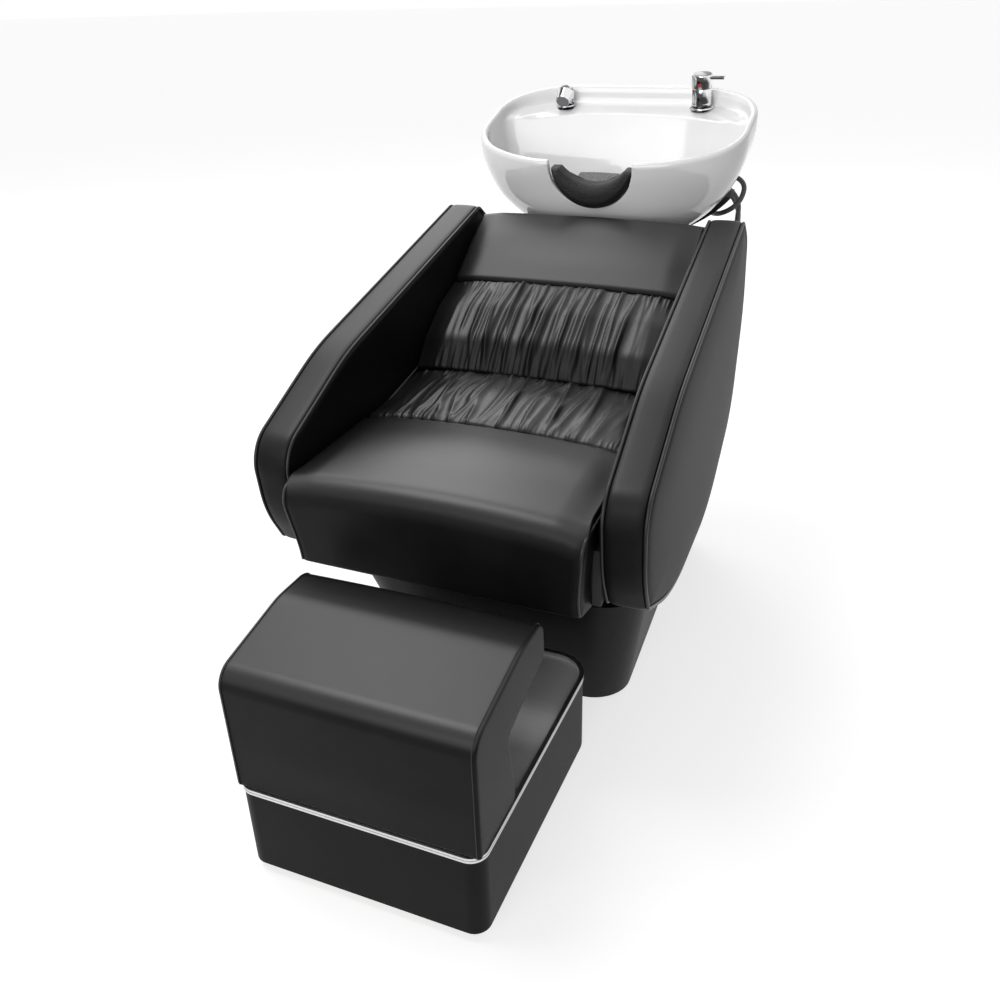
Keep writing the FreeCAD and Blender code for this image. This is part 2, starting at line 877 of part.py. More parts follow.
def seat_front_corners(rise):
    """Side outline of the smooth front cushion, anticlockwise from the seam."""
    small = float(S.piping_radius)
    return [
        (
            -float(S.seat_seam_reach) - float(S.seam_gap), float(SEAT_SEAM_HEIGHT) + rise * HALF_SHARE,
            float(S.seam_radius)
        ),
        (
            -float(SEAT_FRONT_REACH) * FRONT_CREST_SHARE, float(SEAT_SEAM_HEIGHT) + rise,
            float(S.seat_front_radius)
        ),
        (
            -float(SEAT_FRONT_REACH), float(SEAT_FRONT_HEIGHT) + rise * HALF_SHARE,
            float(S.seat_front_radius)
        ),
        (-float(SEAT_NOSE_REACH), float(DECK_LEVEL + S.riser_height), small),
        (-float(S.seat_box_reach) - float(S.soft_gap), float(DECK_LEVEL + S.riser_height), 0),
        (-float(S.seat_box_reach) - float(S.soft_gap), float(BOARD_LEVEL), 0),
        (-float(S.seat_seam_reach) - float(S.seam_gap), float(BOARD_LEVEL), 0),
    ]


FRONT_CREST_SHARE = 0.62
STRIP_CREST_SHARE = 0.5


def seat_strip_corners(rise):
    """Side outline of the gathered strip between the two seat seams."""
    middle = (float(S.seat_heel_setback) - float(S.seat_seam_reach)) * STRIP_CREST_SHARE
    crest = (float(SEAT_HEEL_HEIGHT) + float(SEAT_SEAM_HEIGHT)) * HALF_SHARE
    return [
        (float(S.seat_heel_setback), float(SEAT_HEEL_HEIGHT) + rise * HALF_SHARE, float(S.seam_radius)),
        (middle, crest + rise, float(S.seat_front_radius) * 4),
        (
            -float(S.seat_seam_reach) + float(S.seam_gap), float(SEAT_SEAM_HEIGHT) + rise * HALF_SHARE,
            float(S.seam_radius)
        ),
        (-float(S.seat_seam_reach) + float(S.seam_gap), float(BOARD_LEVEL), 0),
        (float(S.seat_heel_setback), float(BOARD_LEVEL), 0),
    ]


LUMBAR_CREST_SHARES = (0.27, 0.62)


def lumbar_corners(rise):
    """Side outline of the gathered lumbar panel, with its puff low down."""
    length = float(S.back_lumbar_length) - float(S.seam_gap)
    puff = float(S.back_lumbar_puff)
    low, high = LUMBAR_CREST_SHARES
    return back_corners([
        (length, rise, float(S.seam_radius)),
        (length * high, puff + rise, float(S.seat_front_radius) * 2),
        (length * low, puff + rise, float(S.seat_front_radius)),
        (0, rise * HALF_SHARE, float(S.seam_radius) * HALF_SHARE),
        (0, -float(S.back_depth), 0),
        (length, -float(S.back_depth), 0),
    ])


def head_corners(rise):
    """Side outline of the smooth head panel."""
    start = float(S.back_lumbar_length) + float(S.seam_gap)
    end = float(S.back_lumbar_length) + float(S.back_head_length)
    return back_corners([
        (end, rise * HALF_SHARE, float(S.seam_radius)),
        ((start + end) * HALF_SHARE, rise, float(S.seat_front_radius) * 4),
        (start, rise * HALF_SHARE, float(S.seam_radius)),
        (start, -float(S.back_depth), 0),
        (end, -float(S.back_depth), 0),
    ])


def seat_welt_corners():
    """Line of the seat welt from the top of the back to the foot of the seat front."""
    deep = float(S.cushion_edge_drop) + float(S.seam_radius)
    head = back_point(float(S.back_lumbar_length + S.back_head_length) - deep, -deep)
    heel = back_point(deep, -deep)
    return [
        head + (0,),
        heel + (float(S.seat_front_radius),),
        (-float(S.seat_seam_reach), float(SEAT_SEAM_HEIGHT) - deep, float(S.seat_front_radius)),
        (-float(SEAT_FRONT_REACH) + deep, float(SEAT_FRONT_HEIGHT) - deep, float(S.seam_radius) * 2),
        (
            -float(SEAT_NOSE_REACH) + deep * HALF_SHARE,
            float(DECK_LEVEL + S.riser_height + S.piping_radius), 0
        ),
    ]


def open_wire(corners, to_point):
    """An open wire of straight runs and tangent arcs."""
    edges = []
    last = Vector(float(corners[0][0]), float(corners[0][1]), 0)
    for index in range(1, len(corners) - 1):
        before, here, after = (Vector(float(c[0]), float(c[1]), 0) for c in corners[index - 1:index + 2])
        way_in = (here - before).normalize()
        way_out = (after - here).normalize()
        turn = way_in.getAngle(way_out)
        reach = float(corners[index][2]) * math.tan(turn / 2)
        start, end = here - way_in * reach, here + way_out * reach
        depth = float(corners[index][2]) * (1 / math.cos(turn / 2) - 1)
        middle = here + (way_out - way_in).normalize() * depth
        edges.append(Part.LineSegment(to_point(last.x, last.y), to_point(start.x, start.y)).toShape())
        edges.append(Part.Arc(*(to_point(p.x, p.y) for p in (start, middle, end))).toShape())
        last = end
    final = corners[-1]
    edges.append(
        Part.LineSegment(to_point(last.x, last.y), to_point(float(final[0]), float(final[1]))).toShape()
    )
    return Part.Wire(edges)


def make_upholstery():
    """The four cushions, their boards and the welt along both sides."""
    node(form("seat_cushion", crowned_panel(seat_front_corners, S.seat_crown)), "seat_cushion")
    node(
        form("seat_gathered_strip", crowned_panel(seat_strip_corners, S.seat_crown)),
        "seat_gathered_strip"
    )
    node(form("back_lumbar_panel", crowned_panel(lumbar_corners, S.back_crown)), "back_lumbar_panel")
    node(form("back_head_panel", crowned_panel(head_corners, S.back_crown)), "back_head_panel")
    length = float(S.back_lumbar_length + S.back_head_length)
    depth = float(S.back_depth) + float(S.seam_gap) * HALF_SHARE
    thick = float(S.back_board_thickness)
    profile = back_corners(
        [(0, -depth, 0), (0, -depth - thick, 0), (length, -depth - thick, 0), (length, -depth, 0)]
    )
    half = float(S.arm_inner_offset) - float(S.seat_side_gap)
    board = prism(profile, across(-half), Vector(2 * half, 0, 0))
    board_form = form("back_panel_board", board)
    low = back_point(0, -depth - thick)
    slope = float(BACK_SIN) / float(BACK_COS)
    front = low[0] + float(S.board_thickness)
    rear = back_point(length, -depth - thick)[0] - float(S.board_thickness)
    gusset_corners = sharp([
        (front, float(BOARD_LEVEL)), (rear, float(BOARD_LEVEL)),
        (rear, low[1] + (rear - low[0]) * slope), (front, low[1] + (front - low[0]) * slope),
    ])
    middle = float(S.gusset_offset)
    gusset = prism(gusset_corners, across(middle), Vector(float(S.board_thickness), 0, 0))
    right = form("right_gusset", gusset)
    node(group("back_board", board_form, right, mirrored("left_gusset", right)), "back_board")
    reference = float(S.arm_reference_setback)
    corners = [(a - reference, b, radius) for a, b, radius in seat_welt_corners()]
    path = open_wire(corners, across(float(S.piping_radius)))
    first = path.Edges[0]
    start = first.valueAt(first.FirstParameter)
    way = first.tangentAt(first.FirstParameter)
    section = welt_section(start, Vector(-1, 0, 0), Vector(-1, 0, 0).cross(way), (0,))
    welt = form("right_seat_welt", path.makePipeShell([section], True, False))
    edge = float(S.arm_inner_offset) - float(S.seat_side_gap)
    welt.Placement = Placement(Vector(edge, reference, 0), Rotation(Vector(0, 0, 1), float(S.seat_splay)))
    node(group("seat_piping", welt, mirrored("left_seat_welt", welt)), "seat_piping")


def glide(name, x, y):
    """A round foot with a stem into the board above it."""
    profile = [
        (0, 0), (S.glide_radius - S.glide_chamfer, 0), (S.glide_radius, S.glide_chamfer),
        (S.glide_radius, S.glide_height), (S.glide_stem_radius, S.glide_height),
        (
            S.glide_stem_radius, S.glide_height + S.glide_stem_length
        ), (0, S.glide_height + S.glide_stem_length),
    ]
    made = turned(name, profile)
    bind_base(made, (x, y, 0))
    return made


def glides(label, spots):
    """A set of glides under one name."""
    node(group(label, *(glide(f"{label}_{index}", x, y) for index, (x, y) in enumerate(spots))), label)


def stem_holes(spots):
    """Holes for the glide stems."""
    foot = float(S.glide_height)
    return Part.makeCompound([
        Part.makeCylinder(
            float(S.glide_stem_radius), float(S.glide_stem_length), Vector(float(x), float(y), foot)
        )
        for x, y in spots
    ])


PAD_OUTLINE_SHARES = (
    (0.008, 0.0, 0.012),
    (0.5175, 0.0, 0.012),
    (0.44, 0.573, 0.1),
    (1.0, 0.684, 0.05),
    (0.984, 0.972, 0.11),
    (0.634, 1.0, 0.47),
    (0.0, 0.838, 0.15),
)
PAD_CORE_SHARES = ((0.19, 0), (0.276, 0), (0.276, 0.655), (0.86, 0.79), (0.86, 0.88), (0.19, 0.725))


def make_footrest():
    """The loose footrest: box, board, glides, trim, step plate, pad and pad core."""
    half = float(S.footrest_width) * HALF_SHARE
    front = -float(FOOTREST_REACH)
    rear = front + float(S.footrest_depth)
    foot = S.glide_height
    front_turn, rear_turn = float(S.footrest_front_radius), float(S.footrest_rear_radius)
    plan = [
        (-half, front, front_turn), (half, front, front_turn), (half, rear, rear_turn),
        (-half, rear, rear_turn)
    ]
    rise = Vector(0, 0, float(S.footrest_box_height))
    block = prism(plan, level(foot), rise)
    lid = float(S.footrest_wall)
    room_plan = inset(plan, lid)
    block = block.cut(prism(room_plan, level(0), Vector(0, 0, float(foot + S.footrest_box_height) - lid)))
    node(form("footrest_base", block), "footrest_base")
    offset = S.footrest_glide_offset
    near = -FOOTREST_REACH + S.footrest_glide_inset
    far = near + S.footrest_glide_span
    spots = [(-offset, near), (offset, near), (offset, far), (-offset, far)]
    board = prism(room_plan, level(foot), Vector(0, 0, float(S.floor_board_thickness)))
    node(form("footrest_floor_board", board.cut(stem_holes(spots))), "footrest_floor_board")
    glides("footrest_glides", spots)
    top = float(foot + S.footrest_box_height)
    tall = float(S.trim_height)
    outer = inset(plan, -float(S.trim_proud))
    inner = inset(plan, float(S.trim_width) - float(S.trim_proud))
    trim = ring(outer, inner, level(top), Vector(0, 0, tall))
    groove = ring(inset(plan, -float(S.trim_proud) - lid), plan, level(top + tall * GROOVE_LOW_SHARE),
                  Vector(0, 0, tall * (1 - 2 * GROOVE_LOW_SHARE)))
    node(form("footrest_trim", trim.cut(groove)), "footrest_trim")
    step = prism(inner, level(top), Vector(0, 0, float(S.step_plate_thickness)))
    node(form("footrest_step_plate", step), "footrest_step_plate")
    pad_foot = top + tall
    pad_profile = [
        (front + a * float(S.pad_depth), pad_foot + b * float(S.pad_height), turn * float(S.pad_height))
        for a, b, turn in PAD_OUTLINE_SHARES
    ]
    edge = float(S.pad_end_radius)
    stations = ((-half, edge), (-half + edge * EDGE_SHARE, edge * EDGE_SHARE), (-half + edge, 0))
    sections = [rounded_wire(inset(pad_profile, amount), across(x)) for x, amount in stations]
    end_cap = Part.makeLoft(sections, True, True)
    middle = prism(pad_profile, across(-half + edge), Vector(2 * (half - edge), 0, 0))
    pad = middle.fuse([end_cap, end_cap.mirror(Vector(0, 0, 0), Vector(1, 0, 0))]).removeSplitter()
    core_foot = top + float(S.step_plate_thickness)
    core_profile = [
        (front + a * float(S.pad_depth), pad_foot + b * float(S.pad_height) if b > 0 else core_foot, 0)
        for a, b in PAD_CORE_SHARES
    ]
    core_half = float(S.pad_core_width) * HALF_SHARE
    core = prism(core_profile, across(-core_half), Vector(2 * core_half, 0, 0))
    node(form("footrest_pad", pad.cut(core)), "footrest_pad")
    node(form("footrest_pad_core", core), "footrest_pad_core")


GROOVE_LOW_SHARE = 0.4
EDGE_SHARE = 0.3


def tub_plan(width, rear_width, reach, corner):
    """A plan of the pedestal at one level, anticlockwise."""
    half, rear_half = float(width) * HALF_SHARE, float(rear_width) * HALF_SHARE
    rear, rear_turn = float(S.pedestal_rear_setback), float(S.pedestal_rear_radius)
    return [
        (-half, -float(reach), float(corner)), (half, -float(reach), float(corner)),
        (rear_half, rear, rear_turn), (-rear_half, rear, rear_turn),
    ]


def pipe_hatch_plan():
    """Plan of the hatch that the pipes pass through, in the deck and in the floor board."""
    half = float(S.upright_gap) * HALF_SHARE - float(S.pedestal_wall)
    front = float(S.pivot_setback) - float(
        S.service_plate_depth
    ) * HALF_SHARE + float(S.pedestal_wall) * HALF_SHARE
    rear = float(S.waste_setback + S.waste_collar_radius) - float(S.thread_relief)
    return sharp(rectangle(-half, front, half, rear))


def make_pedestal():
    """The tapered tub on the floor, its board and glides."""
    foot, top = float(S.glide_height), float(DECK_LEVEL)
    low = tub_plan(
        S.pedestal_foot_width, S.pedestal_foot_rear_width, S.pedestal_foot_reach, S.pedestal_foot_radius
    )
    high = tub_plan(
        S.pedestal_top_width, S.pedestal_top_rear_width, S.pedestal_top_reach, S.pedestal_top_radius
    )
    wall = float(S.pedestal_wall)
    outer = Part.makeLoft([rounded_wire(low, level(foot)), rounded_wire(high, level(top))], True, True)
    ceiling = top - wall
    share = (ceiling - foot) / (top - foot)
    below = [tuple(a + (b - a) * share for a, b in zip(one, two)) for one, two in zip(low, high)]
    room = Part.makeLoft(
        [rounded_wire(inset(low, wall), level(foot)), rounded_wire(inset(below, wall), level(ceiling))],
        True, True
    )
    mouth_half = float(S.service_mouth_width) * HALF_SHARE
    rear = float(S.pedestal_rear_setback)
    mouth = Part.makeBox(2 * mouth_half, 4 * wall, float(S.service_mouth_height),
                         Vector(-mouth_half, rear - 2 * wall, foot + float(S.floor_board_thickness)))
    hatch_plan = pipe_hatch_plan()
    hatch = prism(hatch_plan, level(top - 2 * wall), Vector(0, 0, 3 * wall))
    node(form("pedestal_shell", outer.cut(room).cut(mouth).cut(hatch)), "pedestal_shell")
    tall = float(S.floor_board_thickness)
    spots = [
        (
            -S.chair_glide_front_offset, -S.chair_glide_front_reach
        ), (S.chair_glide_front_offset, -S.chair_glide_front_reach),
        (S.chair_glide_rear_offset, S.chair_glide_rear_setback), (
            -S.chair_glide_rear_offset, S.chair_glide_rear_setback
        ),
    ]
    reach = float(S.pedestal_foot_width) + float(S.pedestal_top_width)
    slab = Part.makeBox(2 * reach, 2 * reach, tall, Vector(-reach, -reach, foot))
    board = room.common(slab)
    way = prism(hatch_plan, level(foot), Vector(0, 0, tall))
    node(form("pedestal_floor_board", board.cut(stem_holes(spots)).cut(way)), "pedestal_floor_board")
    glides("chair_glides", spots)


def column_plan(width):
    """A plan of the column at one level, anticlockwise."""
    half, turn = float(width) * HALF_SHARE, float(S.column_radius)
    front, rear = float(S.column_front_setback), float(S.column_rear_setback)
    return [(-half, front, turn), (half, front, turn), (half, rear, turn), (-half, rear, turn)]


def screw(name, x, y, z, hole_only=False):
    """A small screw that points forward, its head to the rear."""
    shank = Part.makeCylinder(float(S.screw_radius), float(S.screw_length) + float(
        S.access_panel_thickness
    ),
                              Vector(x, y, z), Vector(0, -1, 0))
    if hole_only:
        return shank
    head = Part.makeCylinder(
        float(S.screw_head_radius), float(S.screw_head_height), Vector(x, y, z), Vector(0, 1, 0)
    )
    return shank.fuse(head).removeSplitter()


def make_column():
    """The column shell, the access panel and the screws."""
    foot = float(DECK_LEVEL)
    top = foot + float(S.column_height)
    wall = float(S.column_wall)
    low, high = column_plan(S.column_foot_width), column_plan(S.column_top_width)
    outer = Part.makeLoft([rounded_wire(low, level(foot)), rounded_wire(high, level(top))], True, True)
    room = Part.makeLoft(
        [rounded_wire(inset(low, wall), level(foot)), rounded_wire(inset(high, wall), level(top))],
        True, True
    )
    shell = outer.cut(room)
    rear = float(S.column_rear_setback)
    hose_half = float(S.hose_mouth_width) * HALF_SHARE
    drop = float(S.hose_mouth_drop)
    hose_mouth = Part.makeBox(
        2 * hose_half, 3 * wall, drop + wall, Vector(-hose_half, rear - 2 * wall, top - drop)
    )
    access_half = float(S.access_mouth_width) * HALF_SHARE
    access_foot = foot + float(S.access_mouth_rise)
    access_tall = float(S.access_mouth_height)
    access = Part.makeBox(
        2 * access_half, 3 * wall, access_tall, Vector(-access_half, rear - 2 * wall, access_foot)
    )
    over = float(S.access_panel_overlap)
    thick = float(S.access_panel_thickness)
    spots = [
        (x, z) for x in (-access_half - over * HALF_SHARE, access_half + over * HALF_SHARE)
        for z in (access_foot, access_foot + access_tall)
    ]
    holes = Part.makeCompound([screw("hole", x, rear + thick, z, True) for x, z in spots])
    node(form("column_shell", shell.cut(hose_mouth).cut(access).cut(holes)), "column_shell")
    cover = Part.makeBox(2 * (access_half + over), thick, access_tall + 2 * over,
                         Vector(-access_half - over, rear, access_foot - over))
    node(form("rear_access_panel", cover.cut(holes)), "rear_access_panel")
    node(
        form(
            "rear_panel_screws",
            Part.makeCompound([screw("screw", x, rear + thick, z) for x, z in spots])
        ),
        "rear_panel_screws"
    )


def make_column_frame():
    """The steel frame that carries the basin, its bushes and the service fittings."""
    foot = DECK_LEVEL
    middle = S.pivot_setback
    inner = S.upright_gap * HALF_SHARE
    outer = inner + S.upright_width
    half_depth = S.upright_depth * HALF_SHARE
    plate_half = S.foot_plate_depth * HALF_SHARE
    steel = S.steel_plate
    top = foot + S.upright_height
    parts = []
    for name, low, high in (("right", inner, outer), ("left", -outer, -inner)):
        parts.append(
            box(
                name + "_upright", (low, middle - half_depth, foot + steel),
                (high, middle + half_depth, top)
            )
        )
        parts.append(
            box(
                name + "_foot_plate", (low, middle - plate_half, foot),
                (high, middle + plate_half, foot + steel)
            )
        )
        ear_low = low if name == "right" else high - steel
        ear_high = ear_low + steel
        pivot_z = S.pivot_height
        parts.append(box(name + "_ear_web", (ear_low, middle - S.ear_radius, top - steel),
                         (ear_high, middle + S.ear_radius, pivot_z)))
        parts.append(cylinder(name + "_ear_round", S.ear_radius, steel, (ear_low, middle, pivot_z), "X"))
    plate_z = foot + S.service_plate_rise
    half_plate = S.service_plate_depth * HALF_SHARE
    plate_rear = S.column_rear_setback - S.column_wall - S.soft_gap
    parts.append(
        box("service_plate", (-inner, middle - half_plate, plate_z), (inner, plate_rear, plate_z + steel))
    )
    parts.append(
        box(
            "top_rail", (-inner, middle - half_depth, top - S.upright_width),
            (inner, steel + middle - half_depth, top)
        )
    )
    holes = [cylinder("bush_hole", S.bush_radius, outer * 2, (-outer, middle, S.pivot_height), "X")]
    inlet = S.inlet_spacing * HALF_SHARE
    inlet_neck = S.inlet_thread_radius - S.soft_gap
    waste_neck = S.waste_pipe_radius - S.soft_gap
    relief = S.thread_relief
    for name, x in (("cold", inlet), ("hot", -inlet)):
        holes.append(cylinder(name + "_inlet_hole", inlet_neck, steel * 3, (x, middle, plate_z - steel)))
    holes.append(cylinder("waste_hole", waste_neck, steel * 3, (0, S.waste_setback, plate_z - steel)))
    node(cut("column_frame", fuse("frame_steel", *parts), *holes), "column_frame")
    bush_profile = [
        (
            S.pivot_radius + S.running_clearance, -S.bush_flange_thickness
        ), (S.bush_flange_radius, -S.bush_flange_thickness),
        (S.bush_flange_radius, 0), (S.bush_radius, 0), (S.bush_radius, steel),
        (S.pivot_radius + S.running_clearance, steel),
    ]
    right = turned("right_bush", bush_profile)
    right.Placement = Placement(Vector(0, 0, 0), Rotation(Vector(0, 1, 0), 90))
    bind_base(right, (inner, middle, S.pivot_height))
    node(group("pivot_bushes", right, mirrored("left_bush", right)), "pivot_bushes")
    fittings = []
    for name, x in (("cold", inlet), ("hot", -inlet)):
        foot_z = -S.inlet_thread_length - relief
        profile = [
            (S.inlet_radius, foot_z), (S.inlet_thread_radius, foot_z), (S.inlet_thread_radius, -relief),
            (inlet_neck, -relief), (inlet_neck, steel), (S.inlet_nut_radius, steel),
            (S.inlet_nut_radius, steel + S.inlet_nut_height), (S.inlet_radius, steel + S.inlet_nut_height),
        ]
        made = turned(name + "_inlet", profile)
        bind_base(made, (x, middle, plate_z))
        fittings.append(made)
    node(group("supply_inlets", *fittings), "supply_inlets")
    waste_foot = -S.waste_pipe_drop - relief
    waste_profile = [
        (S.waste_pipe_bore, waste_foot), (S.waste_pipe_radius, waste_foot), (S.waste_pipe_radius, -relief),
        (waste_neck, -relief), (waste_neck, steel), (S.waste_collar_radius, steel),
        (
            S.waste_collar_radius, steel + S.waste_collar_height
        ), (S.waste_spigot_radius, steel + S.waste_collar_height),
        (S.waste_spigot_radius, steel + S.waste_pipe_rise), (S.waste_pipe_bore, steel + S.waste_pipe_rise),
    ]
    waste = turned("waste_pipe", waste_profile)
    bind_base(waste, (0, S.waste_setback, plate_z))
    node(waste, "waste_pipe")


def bowl_spot(x, y, z):
    """A point of the basin's leaned frame, in the frame of the whole bed."""
    return (
        x,
        S.bowl_setback + LEAN_COS * y - LEAN_SIN * z,
        S.bowl_base_height + LEAN_SIN * y + LEAN_COS * z,
    )


LEAN = Rotation(Vector(1, 0, 0), float(S.bowl_lean))


def on_bowl(obj, x=0, y=0, z=0):
    """Stand an object at a point of the basin's leaned frame."""
    obj.Placement = Placement(Vector(0, 0, 0), LEAN)
    bind_base(obj, bowl_spot(x, y, z))
    return obj


FRONT_FLAT_SHARE, REAR_FLAT_SHARE = 0.547, 0.621
# Basin outside, level by level: height, forward to back shift, half width and half depth as shares
# of the whole height, width and depth, then the share of the rim's slope
BOWL_LEVEL_SHARES = (
    (0.0, 0.0, 0.36, 0.37, 0.0),
    (0.216, 0.2, 0.68, 0.53, 0.17),
    (0.432, 0.43, 0.86, 0.735, 0.4),
    (0.648, 0.72, 0.955, 0.88, 0.62),
    (0.86, 0.92, 0.998, 0.975, 0.86),
    (1.0, 1.0, 1.0, 1.0, 1.0),
)


def oval(half_width, half_depth):
    """A soft rectangle of straight runs and arcs, squarer at the rear."""
    front, rear = FRONT_FLAT_SHARE, REAR_FLAT_SHARE
    corners = [
        (-front * half_width, -half_depth), (front * half_width, -half_depth),
        (half_width, -front * half_depth), (half_width, rear * half_depth),
        (rear * half_width, half_depth), (-rear * half_width, half_depth),
        (-half_width, rear * half_depth), (-half_width, -front * half_depth),
    ]
    turns = corner_turns(sharp(corners))
    count = len(corners)
    rounded = []
    for index, (a, b) in enumerate(corners):
        lengths = [
            math.dist((a, b), corners[(index + step) % count]) * OVAL_REACH_SHARE for step in (-1, 1)
        ]
        rounded.append((a, b, min(lengths) / math.tan(abs(turns[index][2]) / 2)))
    return rounded


OVAL_REACH_SHARE = 0.49


def bowl_wire(level_shares, wall):
    """One level of the basin, moved in by a wall thickness."""
    height, shift, width, depth, slope = level_shares
    foot, rim = float(S.bowl_foot_shift), float(S.bowl_rim_shift)
    outline = oval(
        float(S.bowl_width) * HALF_SHARE * width - wall, float(S.bowl_depth) * HALF_SHARE * depth - wall
    )
    wire = rounded_wire(outline, level(0))
    wire.Placement = Placement(
        Vector(0, foot + (rim - foot) * shift, float(S.bowl_height) * height),
        Rotation(Vector(1, 0, 0), float(S.bowl_rim_slope) * slope),
    )
    return wire


def side_block(corners, half):
    """A side outline run across the basin to both sides."""
    return prism(corners, across(-half), Vector(2 * half, 0, 0))


def deck_corners(wall, drop, low):
    """Side outline of the tap deck's block, or of the room under it."""
    slope = (float(DECK_FRONT) - float(DECK_FOOT)) / float(S.deck_height)
    top = float(S.deck_height) - drop
    far = float(S.bowl_depth)
    return sharp([
        (float(DECK_FOOT) + wall + slope * low, low), (far, low), (far, top),
        (float(DECK_FOOT) + wall + slope * top, top),
    ])


def make_bowl():
    """The ceramic basin with its neck notch, tap deck and drain hole."""
    outer = Part.makeLoft([bowl_wire(shares, 0) for shares in BOWL_LEVEL_SHARES], True, False)
    wall = float(S.bowl_wall)
    top_shares = BOWL_LEVEL_SHARES[-1]
    inner_foot = (float(S.bowl_floor) / float(S.bowl_height),) + BOWL_INNER_FOOT_SHARES
    inner_shares = [inner_foot] + list(BOWL_LEVEL_SHARES[1:])
    room = Part.makeLoft([bowl_wire(shares, wall) for shares in inner_shares], True, False)
    lid_wire = bowl_wire(top_shares, wall)
    slope = math.radians(float(S.bowl_rim_slope))
    rise = Vector(0, -math.sin(slope), math.cos(slope)) * float(S.cut_overrun)
    over = Part.Face(lid_wire).extrude(rise)
    half = float(S.bowl_width)
    deck = side_block(deck_corners(0, 0, -wall), half)
    bowl = outer.cut(room.fuse(over).cut(deck))
    under = side_block(
        deck_corners(float(S.deck_wall), float(S.deck_thickness), -float(S.cut_overrun)), half
    )
    bowl = bowl.cut(under)
    radius, centre = float(S.notch_radius), float(S.notch_height)
    front = -float(S.bowl_depth)
    notch = Part.makeCylinder(radius, -front, Vector(0, front, centre), Vector(0, 1, 0))
    slot = Part.makeBox(2 * radius, -front, float(S.cut_overrun) * 2, Vector(-radius, front, centre))
    bowl = bowl.cut(notch.fuse(slot))
    drain = Part.makeCylinder(
        float(S.drain_hole_radius), 3 * wall, Vector(0, float(S.bowl_foot_shift), -wall)
    )
    bowl = bowl.cut(drain)
    offset, depth = float(S.fitting_spacing) * HALF_SHARE, float(FITTING_DEPTH)
    pocket = float(S.tap_ring_radius) + float(S.soft_gap)
    for x in (-offset, offset):
        bowl = bowl.cut(
            Part.makeCylinder(pocket, float(S.cut_overrun), Vector(x, depth, float(S.deck_height)))
        )
        bowl = bowl.cut(
            Part.makeCylinder(
                float(S.fitting_hole_radius), 3 * wall,
                Vector(x, depth, float(S.deck_height) - 2 * wall)
            )
        )
    for x, y in mounting_spots():
        bowl = bowl.cut(
            Part.makeCylinder(float(S.mounting_bolt_radius), float(S.mounting_bolt_depth), Vector(x, y, 0))
        )
    node(on_bowl(form("shampoo_bowl", bowl)), "shampoo_bowl")


BOWL_INNER_FOOT_SHARES = (0.06, 0.42, 0.42, 0.0)


def mounting_spots():
    """Where the basin's bolts stand."""
    x, y = float(S.mounting_bolt_offset_x), float(S.mounting_bolt_offset_y)
    middle = float(S.bowl_foot_shift)
    return [(a * x, middle + b * y) for a in (-1, 1) for b in (-1, 1)]


def make_saddle():
    """The moulded saddle that hugs the basin's underside on the cradle."""
    shell = Part.makeLoft(
        [bowl_wire(shares, -float(S.saddle_thickness)) for shares in BOWL_LEVEL_SHARES], True, False
    )
    room = Part.makeLoft(
        [bowl_wire(shares, -float(S.saddle_gap)) for shares in BOWL_LEVEL_SHARES], True, False
    )
    width = float(S.bowl_width)
    near, far = float(S.saddle_near), float(S.saddle_far)
    slab = Part.makeBox(2 * width, far - near, float(S.saddle_height), Vector(-width, near, 0))
    node(on_bowl(form("bowl_saddle", shell.common(slab).cut(room))), "bowl_saddle")


